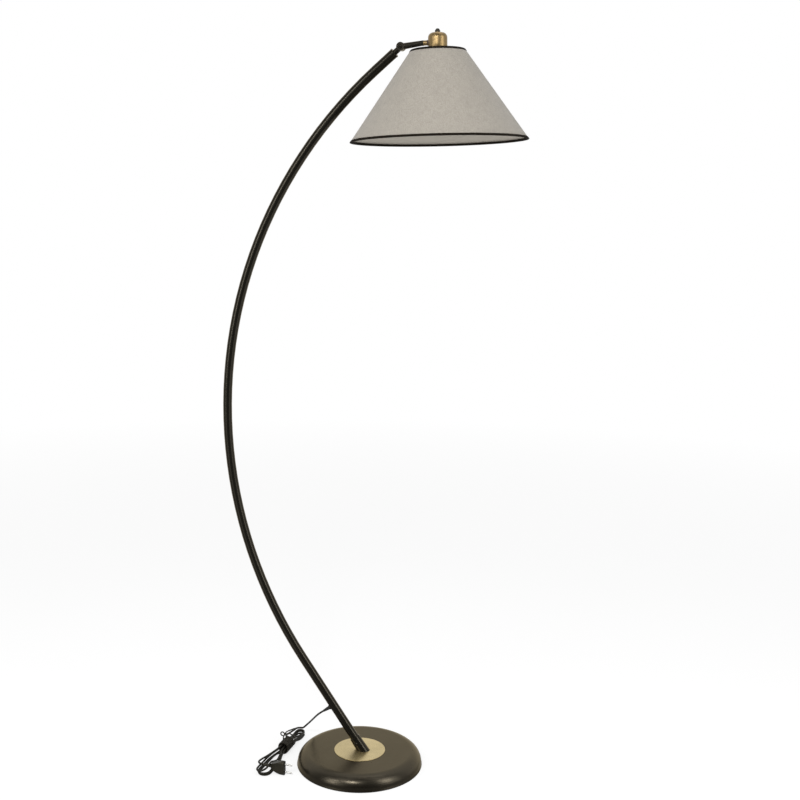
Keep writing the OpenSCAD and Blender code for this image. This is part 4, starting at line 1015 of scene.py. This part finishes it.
def make_floor():
    mesh = bpy.data.meshes.new("floor")
    turns = [2 * math.pi * k / FLOOR_SIDES for k in range(FLOOR_SIDES)]
    ring = [(FLOOR_R * math.cos(a), FLOOR_R * math.sin(a), FLOOR_Z) for a in turns]
    mesh.from_pydata(ring, [], [tuple(range(FLOOR_SIDES))])
    obj = bpy.data.objects.new("floor", mesh)
    bpy.context.scene.collection.objects.link(obj)
    s = Shader("floor_white")
    reach = s.add("ShaderNodeVectorMath", operation="LENGTH", i0=s.place).outputs["Value"]
    s.set(Base_Color=(*[FLOOR_BOUNCE] * 3, 1), Roughness=0.9, Specular_IOR_Level=0.1)
    white, near = s.glow(1.0), s.glow(FLOOR_GLOW)
    pale = s.add("ShaderNodeBsdfDiffuse", Color=(*[FLOOR_GREY] * 3, 1))
    lit = s.add("ShaderNodeAddShader", i0=near, i1=pale.outputs[0]).outputs[0]
    seen = s.add("ShaderNodeLightPath").outputs
    glossy = seen["Is Glossy Ray"]
    direct = s.math("MAXIMUM", glossy, seen["Is Transmission Ray"])
    direct = s.math("MAXIMUM", seen["Is Camera Ray"], direct)
    shine = s.span(s.dot(s.place, BEHIND), FLOOR_DARK, 1.0, *FLOOR_TURN)
    ahead = s.add("ShaderNodeVectorMath", operation="NORMALIZE", i0=s.place).outputs["Vector"]
    for heading, light in BOXES:
        facing = s.dot(ahead, (math.cos(heading), math.sin(heading), 0.0))
        box = s.math("MULTIPLY", s.span(facing, 0.0, light, *BOX_EDGE), s.span(reach, 0.0, 1.0, *BOX_FOOT))
        shine = s.math("MAXIMUM", shine, box)
    studio = s.glow(shine)
    shown = s.either(s.span(reach, 0.0, 1.0, *FLOOR_FADE), lit, white)
    mirrored = s.either(glossy, shown, studio)
    mixed = s.either(direct, s.bsdf.outputs[0], mirrored)
    s.link(mixed, s.out.inputs["Surface"])
    obj.data.materials.append(s.mat)


def make_world(level, dark):
    """A world that is white to the camera, and a studio in reflections alone.

    level is the light it sheds on things, and dark the studio's darker side.
    """
    world = bpy.data.worlds.new("studio")
    world.use_nodes = True
    tree = world.node_tree
    tree.nodes.clear()

    def add(kind, *values, **settings):
        node = tree.nodes.new(kind)
        for key, value in settings.items():
            setattr(node, key, value)
        for socket, value in zip(node.inputs, values):
            if isinstance(value, bpy.types.NodeSocket):
                tree.links.new(value, socket)
            else:
                socket.default_value = value
        return node

    def dot(a, b):
        return add("ShaderNodeVectorMath", a, b, operation="DOT_PRODUCT").outputs["Value"]

    def span(value, edge, low, high):
        node = add("ShaderNodeMapRange", value, *edge, low, high, interpolation_type="SMOOTHSTEP")
        return node.outputs[0]

    def join(operation, a, b):
        return add("ShaderNodeMath", a, b, operation=operation).outputs[0]

    seen = add("ShaderNodeLightPath").outputs
    way = add("ShaderNodeTexCoord").outputs["Generated"]
    studio = span(dot(way, BEHIND), WORLD_TURN, dark, 1.0)
    level_way = add("ShaderNodeVectorMath", way, (1.0, 1.0, 0.0), operation="MULTIPLY").outputs[0]
    ahead = add("ShaderNodeVectorMath", level_way, operation="NORMALIZE").outputs[0]
    for heading, light in BOXES:
        facing = dot(ahead, (math.cos(heading), math.sin(heading), 0.0))
        studio = join("MAXIMUM", studio, span(facing, BOX_EDGE, 0.0, light))
    mirrored = join("MULTIPLY", studio, seen["Is Glossy Ray"])
    straight = join("MAXIMUM", seen["Is Camera Ray"], seen["Is Transmission Ray"])
    shown = join("MAXIMUM", mirrored, straight)
    dim = join("MULTIPLY", join("SUBTRACT", 1.0, seen["Is Glossy Ray"]), level)
    strength = join("MAXIMUM", shown, dim)
    shine = add("ShaderNodeBackground", (1, 1, 1, 1), strength)
    out_node = tree.nodes.new("ShaderNodeOutputWorld")
    tree.links.new(shine.outputs[0], out_node.inputs["Surface"])
    bpy.context.scene.world = world


def lamp(name, at, aim, size, power):
    data = bpy.data.lights.new(name, "AREA")
    data.shape, data.size, data.size_y, data.energy = "RECTANGLE", *size, power
    obj = bpy.data.objects.new(name, data)
    bpy.context.scene.collection.objects.link(obj)
    obj.location = at
    obj.rotation_mode = "QUATERNION"
    obj.rotation_quaternion = (Vector(aim) - Vector(at)).to_track_quat("-Z", "Y")


make_floor()
make_world(level=0.39, dark=0.09)
lamp("strip_left", (-1.5, -2.5, 1.5), (0, 0, 0.9), (0.35, 1.9), 21)
lamp("front_top", (0.15, -2.4, 2.35), (0, 0, 0.4), (0.5, 0.4), 32)
lamp("right", (2.7, -0.9, 1.9), (0, 0, 1.0), (0.7, 1.8), 23)
lamp("top", (0.3, 0.6, 4.2), (0, 0, 0.5), (1.6, 1.6), 11)
